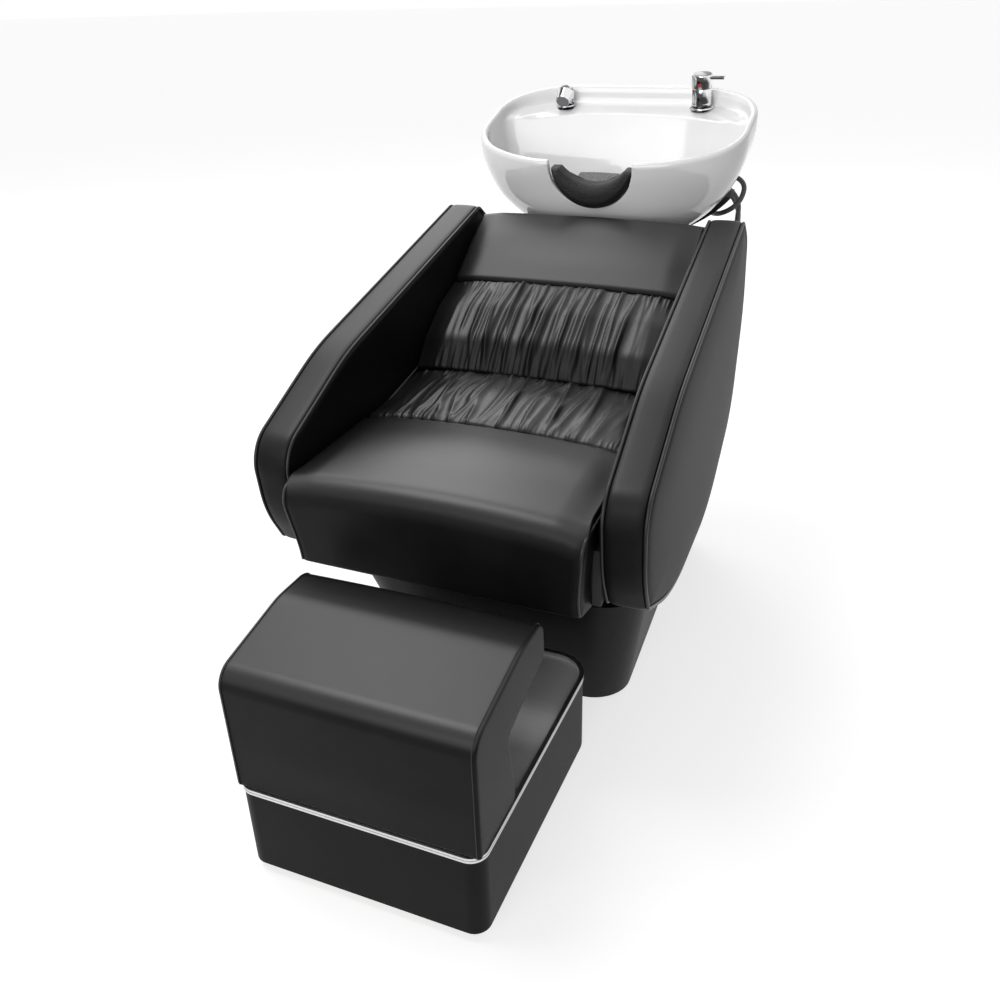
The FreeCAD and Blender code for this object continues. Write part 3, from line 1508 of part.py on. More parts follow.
def make_cradle():
    """The steel cradle under the basin, its pins, nuts and the basin bolts."""
    steel = float(S.steel_plate)
    depth = float(S.cradle_depth)
    middle = float(S.bowl_foot_shift)
    ear_low = float(S.upright_gap) * HALF_SHARE + steel + float(S.ear_gap)
    half = ear_low + float(S.cradle_overhang)
    block = Part.makeBox(2 * half, depth, steel, Vector(-half, middle - depth * HALF_SHARE, -steel))
    drop_y = float(S.pivot_setback) - float(S.bowl_setback)
    drop_z = float(S.pivot_height) - float(S.bowl_base_height)
    pivot_y = drop_y * float(LEAN_COS) + drop_z * float(LEAN_SIN)
    pivot_z = drop_z * float(LEAN_COS) - drop_y * float(LEAN_SIN)
    radius = float(S.ear_radius)
    parts = []
    for low in (ear_low, -ear_low - steel):
        parts.append(
            Part.makeBox(
                steel, 2 * radius, -pivot_z - steel * HALF_SHARE, Vector(low, pivot_y - radius, pivot_z)
            )
        )
        parts.append(along_x(radius, low, low + steel, pivot_y, pivot_z))
    cradle = block.fuse(parts).removeSplitter()
    cradle = cradle.cut(
        Part.makeCylinder(float(S.cradle_mouth_radius), 3 * steel, Vector(0, middle, -2 * steel))
    )
    cradle = cradle.cut(along_x(S.pivot_radius, -half, half, pivot_y, pivot_z))
    bolts = []
    for x, y in mounting_spots():
        hole = Part.makeCylinder(float(S.mounting_bolt_radius), steel, Vector(x, y, -steel))
        cradle = cradle.cut(hole)
        shank = Part.makeCylinder(
            float(S.mounting_bolt_radius), steel + float(S.mounting_bolt_depth), Vector(x, y, -steel)
        )
        head_height = float(S.mounting_bolt_head_height)
        head = Part.makeCylinder(
            float(S.mounting_bolt_head_radius), head_height, Vector(x, y, -steel - head_height)
        )
        bolts.append(shank.fuse(head).removeSplitter())
    node(on_bowl(form("bowl_cradle", cradle)), "bowl_cradle")
    node(on_bowl(form("bowl_mounting_bolts", Part.makeCompound(bolts))), "bowl_mounting_bolts")
    head_high = float(S.upright_gap) * HALF_SHARE - float(S.bush_flange_thickness) - float(S.ear_gap)
    head_low = head_high - float(S.pin_head_thickness)
    nut_low = ear_low + steel
    nut_high = nut_low + float(S.lock_nut_height)
    pivot_x_spot = (0, float(S.pivot_setback), float(S.pivot_height))
    pin = along_x(S.pivot_radius, head_high, nut_high, pivot_x_spot[1], pivot_x_spot[2])
    head = along_x(S.pin_head_radius, head_low, head_high, pivot_x_spot[1], pivot_x_spot[2])
    pin_form = form("right_tilt_pin", pin.fuse(head).removeSplitter())
    nut = along_x(S.pin_head_radius, nut_low, nut_high, pivot_x_spot[1], pivot_x_spot[2])
    nut_form = form("right_lock_nut", nut.cut(pin))
    pieces = [pin_form, nut_form]
    pieces += [mirrored("left_tilt_pin", pin_form), mirrored("left_lock_nut", nut_form)]
    node(group("tilt_pins", *pieces), "tilt_pins")


def make_drain():
    """Drain flange, gasket, nut and the lift-out hair strainer."""
    floor = S.bowl_floor
    shift = S.bowl_foot_shift
    flange = turned("drain_flange", [
        (S.drain_bore, floor - S.drain_tube_length), (S.drain_tube_radius, floor - S.drain_tube_length),
        (S.drain_tube_radius, floor), (S.drain_flange_radius, floor),
        (
            S.drain_flange_radius, floor + S.drain_flange_thickness
        ), (S.drain_bore, floor + S.drain_flange_thickness),
    ])
    node(on_bowl(flange, 0, shift, 0), "drain_flange")
    gasket = turned("drain_gasket", [
        (S.drain_tube_radius, -S.drain_gasket_thickness), (S.drain_nut_radius, -S.drain_gasket_thickness),
        (S.drain_nut_radius, 0), (S.drain_tube_radius, 0),
    ])
    node(on_bowl(gasket, 0, shift, 0), "drain_gasket")
    nut = turned("drain_nut", [
        (S.drain_tube_radius, -S.drain_gasket_thickness - S.drain_nut_height),
        (S.drain_nut_radius, -S.drain_gasket_thickness - S.drain_nut_height),
        (S.drain_nut_radius, -S.drain_gasket_thickness), (S.drain_tube_radius, -S.drain_gasket_thickness),
    ])
    node(on_bowl(nut, 0, shift, 0), "drain_nut")
    base = S.strainer_depth
    radius = S.drain_bore - S.running_clearance
    rim = S.strainer_rim_thickness
    wall = S.strainer_wall
    cup = turned("strainer_cup", [
        (0, -base), (radius, -base), (radius, 0), (S.strainer_rim_radius, 0), (S.strainer_rim_radius, rim),
        (radius - wall, rim), (radius - wall, wall - base), (0, wall - base),
    ])
    holes = []
    count = STRAINER_HOLES
    for index in range(count):
        angle = 2 * math.pi * index / count
        holes.append(Part.makeCylinder(
            float(S.strainer_hole_radius), float(base),
            Vector(
                float(S.strainer_ring_radius) * math.cos(angle),
                float(S.strainer_ring_radius) * math.sin(angle), -float(base) - float(wall)
            ),
        ))
    holes.append(
        Part.makeCylinder(
            float(S.strainer_hole_radius), float(base), Vector(0, 0, -float(base) - float(wall))
        )
    )
    made = cut("hair_strainer", cup, form("strainer_holes", Part.makeCompound(holes)))
    node(on_bowl(made, 0, shift, floor + S.drain_flange_thickness), "hair_strainer")


STRAINER_HOLES = 8


DECK_NUTS = []


def make_tap():
    """The single lever tap on the right end of the deck."""
    x, y, deck = S.fitting_spacing * HALF_SHARE, FITTING_DEPTH, S.deck_height
    under = deck - S.deck_thickness
    ring_made = turned("tap_base_ring", [
        (S.tap_shank_radius, 0), (S.tap_ring_radius, 0), (S.tap_ring_radius, S.tap_ring_height),
        (S.tap_shank_radius, S.tap_ring_height),
    ])
    node(on_bowl(ring_made, x, y, deck), "tap_base_ring")
    bore = S.spindle_radius + S.running_clearance
    body = turned("tap_body", [
        (0, -S.tap_shank_length), (
            S.tap_shank_radius, -S.tap_shank_length
        ), (S.tap_shank_radius, S.tap_ring_height),
        (S.tap_body_radius, S.tap_ring_height), (S.tap_body_radius, S.tap_ring_height + S.tap_body_height),
        (bore, S.tap_ring_height + S.tap_body_height),
        (bore, S.tap_ring_height + S.tap_body_height - S.spindle_depth),
        (0, S.tap_ring_height + S.tap_body_height - S.spindle_depth),
    ])
    node(on_bowl(body, x, y, deck), "tap_body")
    nut = turned("tap_nut", [
        (S.tap_shank_radius, -S.tap_nut_height), (S.tap_nut_radius, -S.tap_nut_height),
        (S.tap_nut_radius, 0), (S.tap_shank_radius, 0),
    ])
    DECK_NUTS.append(on_bowl(nut, x, y, under))
    top = deck + S.tap_ring_height + S.tap_body_height
    spindle = turned("tap_spindle", [
        (0, -S.spindle_depth), (
            S.spindle_radius, -S.spindle_depth
        ), (S.spindle_radius, S.spindle_rise), (0, S.spindle_rise),
    ])
    node(on_bowl(spindle, x, y, top), "tap_spindle")
    cap_profile = [
        (S.cap_radius - S.cap_wall, 0), (S.cap_radius, 0), (
            S.cap_radius, S.cap_height - S.cap_wall * HALF_SHARE
        ),
        (
            S.cap_radius - S.cap_wall * HALF_SHARE, S.cap_height
        ), (0, S.cap_height), (0, S.cap_height - S.cap_wall),
        (S.cap_radius - S.cap_wall, S.cap_height - S.cap_wall),
    ]
    cap = turned("cap_shell", cap_profile)
    rise = float(S.lever_rise)
    slot_start = float(S.cap_radius) - float(S.cap_wall) * HALF_SHARE
    slot_length = float(S.cap_wall) * HALF_SHARE + float(S.lever_length)
    slot = Part.makeBox(
        slot_length, float(S.lever_width), float(S.lever_thickness),
        Vector(slot_start, -float(S.lever_width) * HALF_SHARE, rise)
    )
    eye_x = float(S.cap_radius) + float(S.lever_length) - float(S.lever_width) * HALF_SHARE
    eye = Part.makeCylinder(float(S.lever_eye_radius), 2 * rise, Vector(eye_x, 0, 0))
    reach = float(S.cap_radius) - float(S.dot_thickness) * HALF_SHARE
    dot = Part.makeCylinder(
        float(S.dot_radius), float(S.dot_thickness), Vector(0, -reach, float(S.dot_rise)),
        Vector(0, -1, 0)
    )
    cap_top = top + S.cap_gap
    made = cut("tap_cap", cap, form("cap_slots", Part.makeCompound([slot, dot])))
    node(on_bowl(made, x, y, cap_top), "tap_cap")
    node(on_bowl(form("tap_lever", slot.cut(eye)), x, y, cap_top), "tap_lever")
    node(on_bowl(form("tap_dot", dot), x, y, cap_top), "tap_dot")


def make_handset():
    """The handset, its spray face and its holder on the left end of the deck."""
    x, y, deck = -S.fitting_spacing * HALF_SHARE, FITTING_DEPTH, S.deck_height
    bore = S.handset_stem_radius + S.running_clearance
    holder = turned("handset_holder", [
        (bore, -S.holder_length), (S.holder_radius, -S.holder_length), (S.holder_radius, 0),
        (S.holder_flange_radius, 0), (
            S.holder_flange_radius, S.holder_flange_height
        ), (bore, S.holder_flange_height),
    ])
    node(on_bowl(holder, x, y, deck), "handset_holder")
    nut = turned("holder_nut", [
        (S.holder_radius, -S.holder_nut_height), (S.holder_nut_radius, -S.holder_nut_height),
        (S.holder_nut_radius, 0), (S.holder_radius, 0),
    ])
    DECK_NUTS.append(on_bowl(nut, x, y, deck - S.deck_thickness))
    node(group("deck_nuts", *DECK_NUTS), "deck_nuts")
    flange = float(S.holder_flange_height)
    gap = float(S.handset_lift_gap)
    rise = flange + float(S.handset_head_rise)
    centre = Vector(0, 0, rise)
    radius = float(S.handset_head_radius)
    angle = math.radians(float(S.handset_face_angle))
    way = Vector(0, -math.cos(angle), -math.sin(angle))
    ball = Part.makeSphere(radius, centre)
    reach = float(S.handset_face_reach)
    cone = Part.makeCone(radius, float(S.handset_face_radius), reach, centre, way)
    head = ball.fuse(cone)
    size = float(S.cut_overrun) * 2
    clear = float(DECK_FRONT) - float(FITTING_DEPTH) - gap
    below = Part.makeBox(2 * size, 2 * size, size, Vector(-size, clear, flange + gap - size))
    head = head.cut(below)
    length = float(S.handset_stem_length)
    stem_foot = flange + gap - length
    stem = Part.makeCylinder(
        float(S.handset_stem_radius), length + float(S.handset_head_rise) * HALF_SHARE,
        Vector(0, 0, stem_foot)
    )
    face_depth = float(S.handset_face_thickness)
    face_radius = float(S.handset_face_radius) - float(S.handset_face_rim)
    face = Part.makeCylinder(face_radius, face_depth, centre + way * (reach - face_depth), way).cut(below)
    body = head.fuse(stem).cut(face).removeSplitter()
    node(on_bowl(form("handset", body), x, y, deck), "handset")
    node(on_bowl(form("handset_spray_face", face), x, y, deck), "handset_spray_face")


def make_neck_rest():
    """The lift-out crescent that the neck lies on, and its flap."""
    radius, centre = float(S.neck_rest_radius), float(S.notch_height)
    front, depth = -float(S.neck_rest_front), float(S.neck_rest_depth)
    rest = Part.makeCylinder(radius, depth, Vector(0, front, centre), Vector(0, 1, 0))
    flange_depth = float(S.neck_rest_flange_depth)
    flange = Part.makeCylinder(
        float(S.neck_rest_flange_radius), flange_depth, Vector(0, front + depth - flange_depth, centre),
        Vector(0, 1, 0)
    )
    rest = rest.fuse(flange)
    saddle_radius = float(S.neck_rest_saddle_radius)
    saddle_rise = float(S.neck_rest_saddle_height) + saddle_radius
    saddle = Part.makeCylinder(
        saddle_radius, 3 * depth, Vector(0, front - depth, saddle_rise), Vector(0, 1, 0)
    )
    over = Part.makeBox(4 * radius, 3 * depth, 4 * radius, Vector(-2 * radius, front - depth, centre))
    rest = rest.cut(saddle).cut(over).removeSplitter()
    flap_half = float(S.neck_flap_width) * HALF_SHARE
    slot = float(S.neck_flap_slot)
    thick = float(S.neck_flap_thickness)
    flap_spot = Vector(-flap_half, front + depth - slot, float(S.neck_rest_saddle_height) - 2 * thick)
    flap = Part.makeBox(2 * flap_half, float(S.neck_flap_length), thick, flap_spot)
    node(on_bowl(form("neck_rest", rest.cut(flap).removeSplitter())), "neck_rest")
    node(on_bowl(form("neck_rest_flap", flap)), "neck_rest_flap")


def route_wire(points, radii):
    """A line of straight runs joined by tangent arcs through corners in space."""
    edges = []
    last = points[0]
    for index in range(1, len(points) - 1):
        here = points[index]
        way_in = (here - points[index - 1]).normalize()
        way_out = (points[index + 1] - here).normalize()
        turn = way_in.getAngle(way_out)
        reach = radii[index - 1] * math.tan(turn / 2)
        start, end = here - way_in * reach, here + way_out * reach
        middle = here + (way_out - way_in).normalize() * radii[index - 1] * (1 / math.cos(turn / 2) - 1)
        edges.append(Part.LineSegment(last, start).toShape())
        edges.append(Part.Arc(start, middle, end).toShape())
        last = end
    edges.append(Part.LineSegment(last, points[-1]).toShape())
    return Part.Wire(edges)


RUN_SHARE = 0.45


def route_radii(points):
    """The bend radius at each corner of a route, from the shorter run beside it."""
    radii = []
    for index in range(1, len(points) - 1):
        before = (points[index] - points[index - 1]).Length
        after = (points[index + 1] - points[index]).Length
        turn = (points[index] - points[index - 1]).getAngle(points[index + 1] - points[index])
        radii.append(RUN_SHARE * min(before, after) / math.tan(turn / 2))
    return radii


def tube(name, points, radius, bore=None):
    """A round tube along a route, with its bends printed and its volume compared."""
    radii = route_radii(points)
    wire = route_wire(points, radii)
    way = (points[1] - points[0]).normalize()
    start = Part.Wire([Part.makeCircle(radius, points[0], way)])
    shape = wire.makePipeShell([start], True, False)
    area = math.pi * radius * radius
    if bore:
        inner = wire.makePipeShell([Part.Wire([Part.makeCircle(bore, points[0], way)])], True, False)
        shape = shape.cut(inner)
        area -= math.pi * bore * bore
    print(name, "length", round(wire.Length, 1), "bends", [round(r, 1) for r in radii],
          "volume ratio", round(shape.Volume / (area * wire.Length), 4))
    return shape


def spot(x, y, z):
    """A vector from a point of the basin's frame."""
    return Vector(*(float(value) for value in bowl_spot(x, y, z)))


def make_hoses():
    """The shower hose, the two supply hoses, their ferrules and the waste hose."""
    radius = float(S.hose_radius)
    tap_x, tail_y = float(S.fitting_spacing) * HALF_SHARE, float(FITTING_DEPTH)
    deck = float(S.deck_height)
    shank_foot = deck - float(S.tap_shank_length)
    length = float(S.ferrule_length)
    tail_foot = shank_foot - length
    offset = float(S.tail_offset)
    tails = []
    for share in TAIL_TURN_SHARES:
        angle = 2 * math.pi * share
        tails.append((tap_x + offset * math.cos(angle), tail_y + offset * math.sin(angle)))
    stem_foot = deck + float(
        S.holder_flange_height
    ) + float(S.handset_lift_gap) - float(S.handset_stem_length)
    ferrule_radius = float(S.ferrule_radius)
    ferrules = [Part.makeCylinder(ferrule_radius, length, Vector(x, y, tail_foot)) for x, y in tails]
    ferrules.append(Part.makeCylinder(ferrule_radius, length, Vector(-tap_x, tail_y, stem_foot - length)))
    node(on_bowl(form("hose_ferrules", Part.makeCompound(ferrules))), "hose_ferrules")

    width, tall = float(S.bowl_width), float(S.bowl_height)
    base_y, base_z = float(S.bowl_setback), float(S.bowl_base_height)

    def along(places):
        return [Vector(a * width, base_y + b * width, base_z + c * tall) for a, b, c in places]

    shower_start = [spot(*tails[0], tail_foot), spot(*tails[0], tail_foot - 3 * length)]
    shower_end = [spot(-tap_x, tail_y, stem_foot - 3.4 * length), spot(-tap_x, tail_y, stem_foot - length)]
    shower = tube("shower_hose", shower_start + along(SHOWER_ROUTE_SHARES) + shower_end, radius)
    node(form("shower_hose", shower), "shower_hose")
    plate_top = float(DECK_LEVEL + S.service_plate_rise + S.steel_plate + S.inlet_nut_height)
    half = float(S.inlet_spacing) * HALF_SHARE
    middle = float(S.pivot_setback)
    for name, tail, x, shares in (("hot_supply_hose", tails[1], -half, HOT_ROUTE_SHARES),
                                  ("cold_supply_hose", tails[2], half, COLD_ROUTE_SHARES)):
        start = [spot(*tail, tail_foot), spot(*tail, tail_foot - 3 * length)]
        end = [Vector(x, middle, plate_top + DROP_SHARE * length), Vector(x, middle, plate_top)]
        node(form(name, tube(name, start + along(shares) + end, radius)), name)
    drain_foot = float(S.bowl_floor) - float(S.drain_tube_length)
    waste_top = spot(0, float(S.bowl_foot_shift), drain_foot)
    waste_low = Vector(
        0, float(S.waste_setback),
        float(DECK_LEVEL + S.service_plate_rise + S.steel_plate + S.waste_pipe_rise)
    )
    reach = (waste_top.z - waste_low.z) * WASTE_REACH_SHARE
    knee = spot(0, float(S.bowl_foot_shift), drain_foot - reach)
    waste = tube("waste_hose", [waste_top, knee, waste_low + Vector(0, 0, reach), waste_low],
                 float(S.waste_hose_radius), float(S.waste_hose_radius) - float(S.waste_hose_wall))
    node(form("waste_hose", waste), "waste_hose")


DROP_SHARE = 4.4
TAIL_TURN_SHARES = (0.9167, 0.5833, 0.25)
WASTE_REACH_SHARE = 0.3
# Turning points of the hoses: across as a share of the basin's width, back from its foot as a share
# of its width, up from its foot as a share of its height
SHOWER_ROUTE_SHARES = (
    (0.310, 0.214, 0.540),
    (0.475, 0.127, 0.514),
    (0.475, 0.040, 0.330),
    (0.385, 0.057, 0.200),
    (0.300, 0.231, 0.200),
    (0.035, 0.282, 0.160),
    (-0.185, 0.296, 0.259),
)
HOT_ROUTE_SHARES = (
    (0.282, 0.251, 0.488),
    (0.451, 0.166, 0.358),
    (0.468, 0.022, 0.117),
    (0.479, 0.025, -0.173),
    (0.423, 0.138, -0.453),
    (0.194, 0.187, -0.540),
    (-0.035, 0.166, -0.574),
)
COLD_ROUTE_SHARES = (
    (0.326, 0.268, 0.462),
    (0.440, 0.208, 0.259),
    (0.461, 0.103, 0.073),
    (0.454, 0.096, -0.168),
    (0.387, 0.173, -0.298),
    (0.264, 0.173, -0.376),
)


def write_parts():
    """Check every object, then write one file for each sub-part."""
    DOC.recompute()
    for obj in DOC.Objects:
        for state in ("Invalid", "Error"):
            if state in obj.State:
                raise RuntimeError(f"{obj.Name}: {state}")
    os.makedirs("parts", exist_ok=True)
    for obj in NODES:
        shape = obj.Shape
        if shape.isNull() or not shape.isValid():
            raise RuntimeError(f"{obj.Label}: no valid shape")
        shape.exportStep(f"parts/{obj.Label}.step")
        bound = shape.BoundBox
        print(f"{obj.Label:24s} solids {len(shape.Solids)} volume {shape.Volume / 1000:9.1f} cm3 "
              f"x {bound.XMin:7.1f} {bound.XMax:7.1f} y {bound.YMin:7.1f} {bound.YMax:7.1f} "
              f"z {bound.ZMin:7.1f} {bound.ZMax:7.1f}")
    print("sub-parts", len(NODES))


make_footrest()
make_pedestal()
make_seat_frame()
make_arms()
make_upholstery()
make_column()
make_column_frame()
make_bowl()
make_saddle()
make_cradle()
make_drain()
make_tap()
make_handset()
make_neck_rest()
make_hoses()
write_parts()
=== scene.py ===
import logging
import math
import random
from collections.abc import Callable, Sequence
from dataclasses import dataclass, field
from enum import Enum

import bmesh
import bpy
import numpy as np
from mathutils import Matrix, Vector


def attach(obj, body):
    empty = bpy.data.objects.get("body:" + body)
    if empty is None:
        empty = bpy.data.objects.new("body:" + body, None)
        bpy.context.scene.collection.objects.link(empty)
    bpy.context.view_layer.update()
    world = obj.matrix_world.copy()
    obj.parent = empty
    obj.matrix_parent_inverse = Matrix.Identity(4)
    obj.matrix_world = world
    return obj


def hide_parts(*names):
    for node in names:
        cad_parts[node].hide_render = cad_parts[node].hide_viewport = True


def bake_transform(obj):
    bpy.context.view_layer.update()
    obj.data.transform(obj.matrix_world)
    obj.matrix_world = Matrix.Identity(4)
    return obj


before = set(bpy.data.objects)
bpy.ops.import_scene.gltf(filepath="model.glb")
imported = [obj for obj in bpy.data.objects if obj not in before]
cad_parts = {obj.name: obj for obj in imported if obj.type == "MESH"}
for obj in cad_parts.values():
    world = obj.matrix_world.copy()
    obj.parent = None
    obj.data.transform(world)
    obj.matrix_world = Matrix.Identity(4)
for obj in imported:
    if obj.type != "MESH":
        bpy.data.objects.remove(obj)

LOG = logging.getLogger("washing_bed")
MM = 0.001
TURN = 2 * math.pi
WELD = 0.02 * MM
SEGMENTS = 64
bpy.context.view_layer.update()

Point = tuple[float, float, float]
Corner = tuple[float, float, float]
Colour = tuple[float, float, float, float]
Profile = tuple[tuple[float, float], ...]


class Side(Enum):
    """The two hands of the bed, as the sign of X."""

    LEFT = -1
    RIGHT = 1

    @property
    def word(self) -> str:
        """The side as it stands in a piece's name."""
        return self.name.lower()


class Grain(Enum):
    """How strongly a leather shows its pores."""

    FINE = 0.5
    PLAIN = 1.0


class Body(Enum):
    """The rigid bodies that pieces ride on."""

    CHAIR = "chair"
    BOWL = "bowl"
    HANDSET = "handset"
    NECK_REST = "neck_rest"
    LEVER = "tap_lever"
    FOOTREST = "footrest"


# Shader expressions


class Sock:
    """A socket of a material's tree, usable in arithmetic."""

    def __init__(self, tree: "Tree", socket: bpy.types.NodeSocket) -> None:
        """Keep the tree and the socket."""
        self.tree = tree
        self.socket = socket

    def math(self, operation: str, *others: "Sock | float") -> "Sock":
        """Add a Math node on this socket and others.

        Args:
            operation: the Math node's operation.
            others: its further operands.

        Returns:
            The node's value.
        """
        values = {index: value for index, value in enumerate((self, *others))}
        return self.tree.add("ShaderNodeMath", {"operation": operation}, values)

    def __add__(self, other: "Sock | float") -> "Sock":
        """Sum."""
        return self.math("ADD", other)

    __radd__ = __add__

    def __sub__(self, other: "Sock | float") -> "Sock":
        """Difference."""
        return self.math("SUBTRACT", other)

    def __rsub__(self, other: float) -> "Sock":
        """Number less this socket."""
        return self.math("MULTIPLY", -1.0) + other

    def __mul__(self, other: "Sock | float") -> "Sock":
        """Product."""
        return self.math("MULTIPLY", other)

    __rmul__ = __mul__

    def fade(self, low: float, high: float) -> "Sock":
        """Rise smoothly from 0 at low to 1 at high."""
        inputs = {"Value": self, "From Min": low, "From Max": high}
        return self.tree.add("ShaderNodeMapRange", {"interpolation_type": "SMOOTHSTEP"}, inputs)


class Tree:
    """A material or world and its shader tree."""

    def __init__(self, name: str, world: bool = False) -> None:
        """Start an empty material with a principled surface, or an empty world."""
        self.material = bpy.data.worlds.new(name) if world else bpy.data.materials.new(name)
        self.material.use_nodes = True
        self.nodes = self.material.node_tree.nodes
        self.links = self.material.node_tree.links
        self.nodes.clear()
        self.surface = self.nodes.new("ShaderNodeBackground" if world else "ShaderNodeBsdfPrincipled")
        output = self.nodes.new("ShaderNodeOutputWorld" if world else "ShaderNodeOutputMaterial")
        self.links.new(self.surface.outputs[0], output.inputs["Surface"])

    def add(self, kind: str, settings: dict, inputs: dict, output: int | str = 0) -> Sock:
        """Add a node.

        Args:
            kind: the node's type.
            settings: its own properties.
            inputs: a value or socket for each input by name or index.
            output: which output to return.

        Returns:
            The chosen output.
        """
        node = self.nodes.new(kind)
        for key, value in settings.items():
            setattr(node, key, value)
        for key, value in inputs.items():
            self.feed(node.inputs[key], value)
        return Sock(self, node.outputs[output])

    def feed(self, socket: bpy.types.NodeSocket, value: object) -> None:
        """Link a socket or set its value."""
        if isinstance(value, Sock):
            self.links.new(value.socket, socket)
        else:
            socket.default_value = value

    def place(self, scale: Point = (1.0, 1.0, 1.0)) -> Sock:
        """The place on the object in metres, stretched by a scale."""
        spot = self.add("ShaderNodeTexCoord", {}, {}, "Object")
        return self.add("ShaderNodeVectorMath", {"operation": "MULTIPLY"}, {0: spot, 1: scale})

    def noise(self, scale: float, detail: float = 2.0, stretch: Point = (1.0, 1.0, 1.0)) -> Sock:
        """Soft noise with about scale lumps to the metre."""
        inputs = {"Vector": self.place(stretch), "Scale": scale, "Detail": detail, "Roughness": 0.55}
        return self.add("ShaderNodeTexNoise", {}, inputs, "Fac")

    def cells(self, scale: float, feature: str = "DISTANCE_TO_EDGE") -> Sock:
        """Cell pattern with about scale cells to the metre."""
        inputs = {"Vector": self.place(), "Scale": scale}
        return self.add("ShaderNodeTexVoronoi", {"feature": feature}, inputs, "Distance")

    def tint(self, factor: Sock, low: Colour, high: Colour) -> Sock:
        """Blend two colours by a factor."""
        return self.add("ShaderNodeMix", {"data_type": "RGBA"}, {0: factor, 6: low, 7: high}, 2)

    def facing(self) -> Sock:
        """The way that the surface faces, in the object's own frame."""
        return self.add("ShaderNodeTexCoord", {}, {}, "Normal")

    def facing_noise(self, scale: float) -> Sock:
        """A noise that follows the way the surface faces."""
        return self.add("ShaderNodeTexNoise", {}, {"Vector": self.facing(), "Scale": scale, "Detail": 1.0})

    def facing_up(self) -> Sock:
        """How far the surface faces up, from -1 to 1."""
        return self.add("ShaderNodeSeparateXYZ", {}, {0: self.facing()}, "Z")

    def seen(self) -> Sock:
        """1 where the camera looks, straight, mirrored or through glass, and 0 for the light."""
        rays = ("Is Camera Ray", "Is Glossy Ray", "Is Transmission Ray")
        camera, glossy, clear = (self.add("ShaderNodeLightPath", {}, {}, ray) for ray in rays)
        return camera.math("MAXIMUM", glossy).math("MAXIMUM", clear)

    def bump(self, height: Sock, distance: float, strength: float = 1.0) -> Sock:
        """Turn a height into a normal."""
        return self.add(
            "ShaderNodeBump", {}, {"Height": height, "Distance": distance, "Strength": strength}
        )

    def dress(self, **inputs: object) -> bpy.types.Material:
        """Set the principled surface's sockets and return the material.

        Args:
            inputs: values or sockets by name, with spaces as underscores.

        Returns:
            The finished material.
        """
        for key, value in inputs.items():
            self.feed(self.surface.inputs[key.replace("_", " ")], value)
        return self.material


def grey(value: float) -> Colour:
    """A neutral colour."""
    return (value, value, value, 1.0)


def darker(colour: Colour, share: float) -> Colour:
    """A colour times a share of its brightness."""
    return (*(part * share for part in colour[:3]), 1.0)


# Finishes


@dataclass(frozen=True)
class Finish:
    """A named material with its own look."""

    name: str

    def look(self, tree: Tree) -> dict[str, object]:
        """The inputs of the principled surface, as values or sockets of the tree."""
        raise NotImplementedError

    def make(self) -> bpy.types.Material:
        """Build the material."""
        tree = Tree(self.name)
        return tree.dress(**self.look(tree))


@dataclass(frozen=True)
class Leather(Finish):
    """Smooth corrected upholstery leather."""

    name: str = "black_leather"
    low: Colour = (0.0040, 0.0041, 0.0046, 1.0)
    high: Colour = (0.0062, 0.0063, 0.0070, 1.0)
    roughness: float = 0.37
    grain: Grain = Grain.PLAIN
    ior: float = 1.18
    painted_top_sheen: float = 1.0

    def look(self, tree: Tree) -> dict[str, object]:
        """Build the leather with its pores, soft mottling and a painted sheen: a clear coat only where the
        surface faces up, so the tops catch more highlight.
        """
        cloud = tree.noise(9.0, 3.0)
        pores = tree.cells(1150.0).fade(0.0, 0.28)
        pebble = tree.noise(420.0, 3.0)
        soft = tree.noise(30.0, 2.0)
        height = pores * (0.30 * self.grain.value) + pebble * 0.4 + soft * 1.2
        return dict(
            Base_Color=tree.tint(cloud.fade(0.35, 0.65), self.low, self.high),
            Roughness=pebble * 0.06 + cloud * 0.05 + (self.roughness - 0.05),
            Normal=tree.bump(height, 0.0003, 0.6),
            IOR=self.ior,
            # painted sheen: the coat grows as the surface faces up, a highlight painted onto the tops
            Coat_Weight=tree.facing_up().fade(0.3, 0.95) * self.painted_top_sheen,
            Coat_Roughness=0.36,
        )


@dataclass(frozen=True)
class GlazedCeramic(Finish):
    """White glazed ceramic."""

    name: str = "white_glaze"

    def look(self, tree: Tree) -> dict[str, object]:
        """Build the glaze with its faint thickness variation."""
        cloud = tree.noise(7.0, 2.0)
        ripple = tree.noise(60.0, 1.0)
        return dict(
            Base_Color=tree.tint(cloud.fade(0.3, 0.7), grey(0.88), grey(0.90)),
            Roughness=ripple * 0.03 + 0.07,
            Normal=tree.bump(ripple, 0.0002, 0.25),
            Coat_Weight=0.6,
            Coat_Roughness=0.03,
        )


@dataclass(frozen=True)
class PolishedMetal(Finish):
    """Chrome or turned brass."""

    colour: Colour
    roughness: float = 0.06
    reflection_dark_share: float = 0.94

    def look(self, tree: Tree) -> dict[str, object]:
        """Build the metal with faint polishing marks and painted reflections: dark and bright bands of
        colour that follow the way the surface faces.
        """
        marks = tree.noise(900.0, 2.0, (1.0, 1.0, 0.15))
        # painted reflections: the colour darkens in bands laid by the way the surface faces, standing in
        # for the room mirrored in the metal
        painted_reflection_bands = tree.facing_noise(1.5).fade(0.40, 0.58)
        return dict(
            Base_Color=tree.tint(painted_reflection_bands, darker(self.colour, self.reflection_dark_share), self.colour),
            Metallic=1.0,
            Roughness=marks * 0.05 + self.roughness,
            Normal=tree.bump(marks, 0.00002, 0.3),
        )


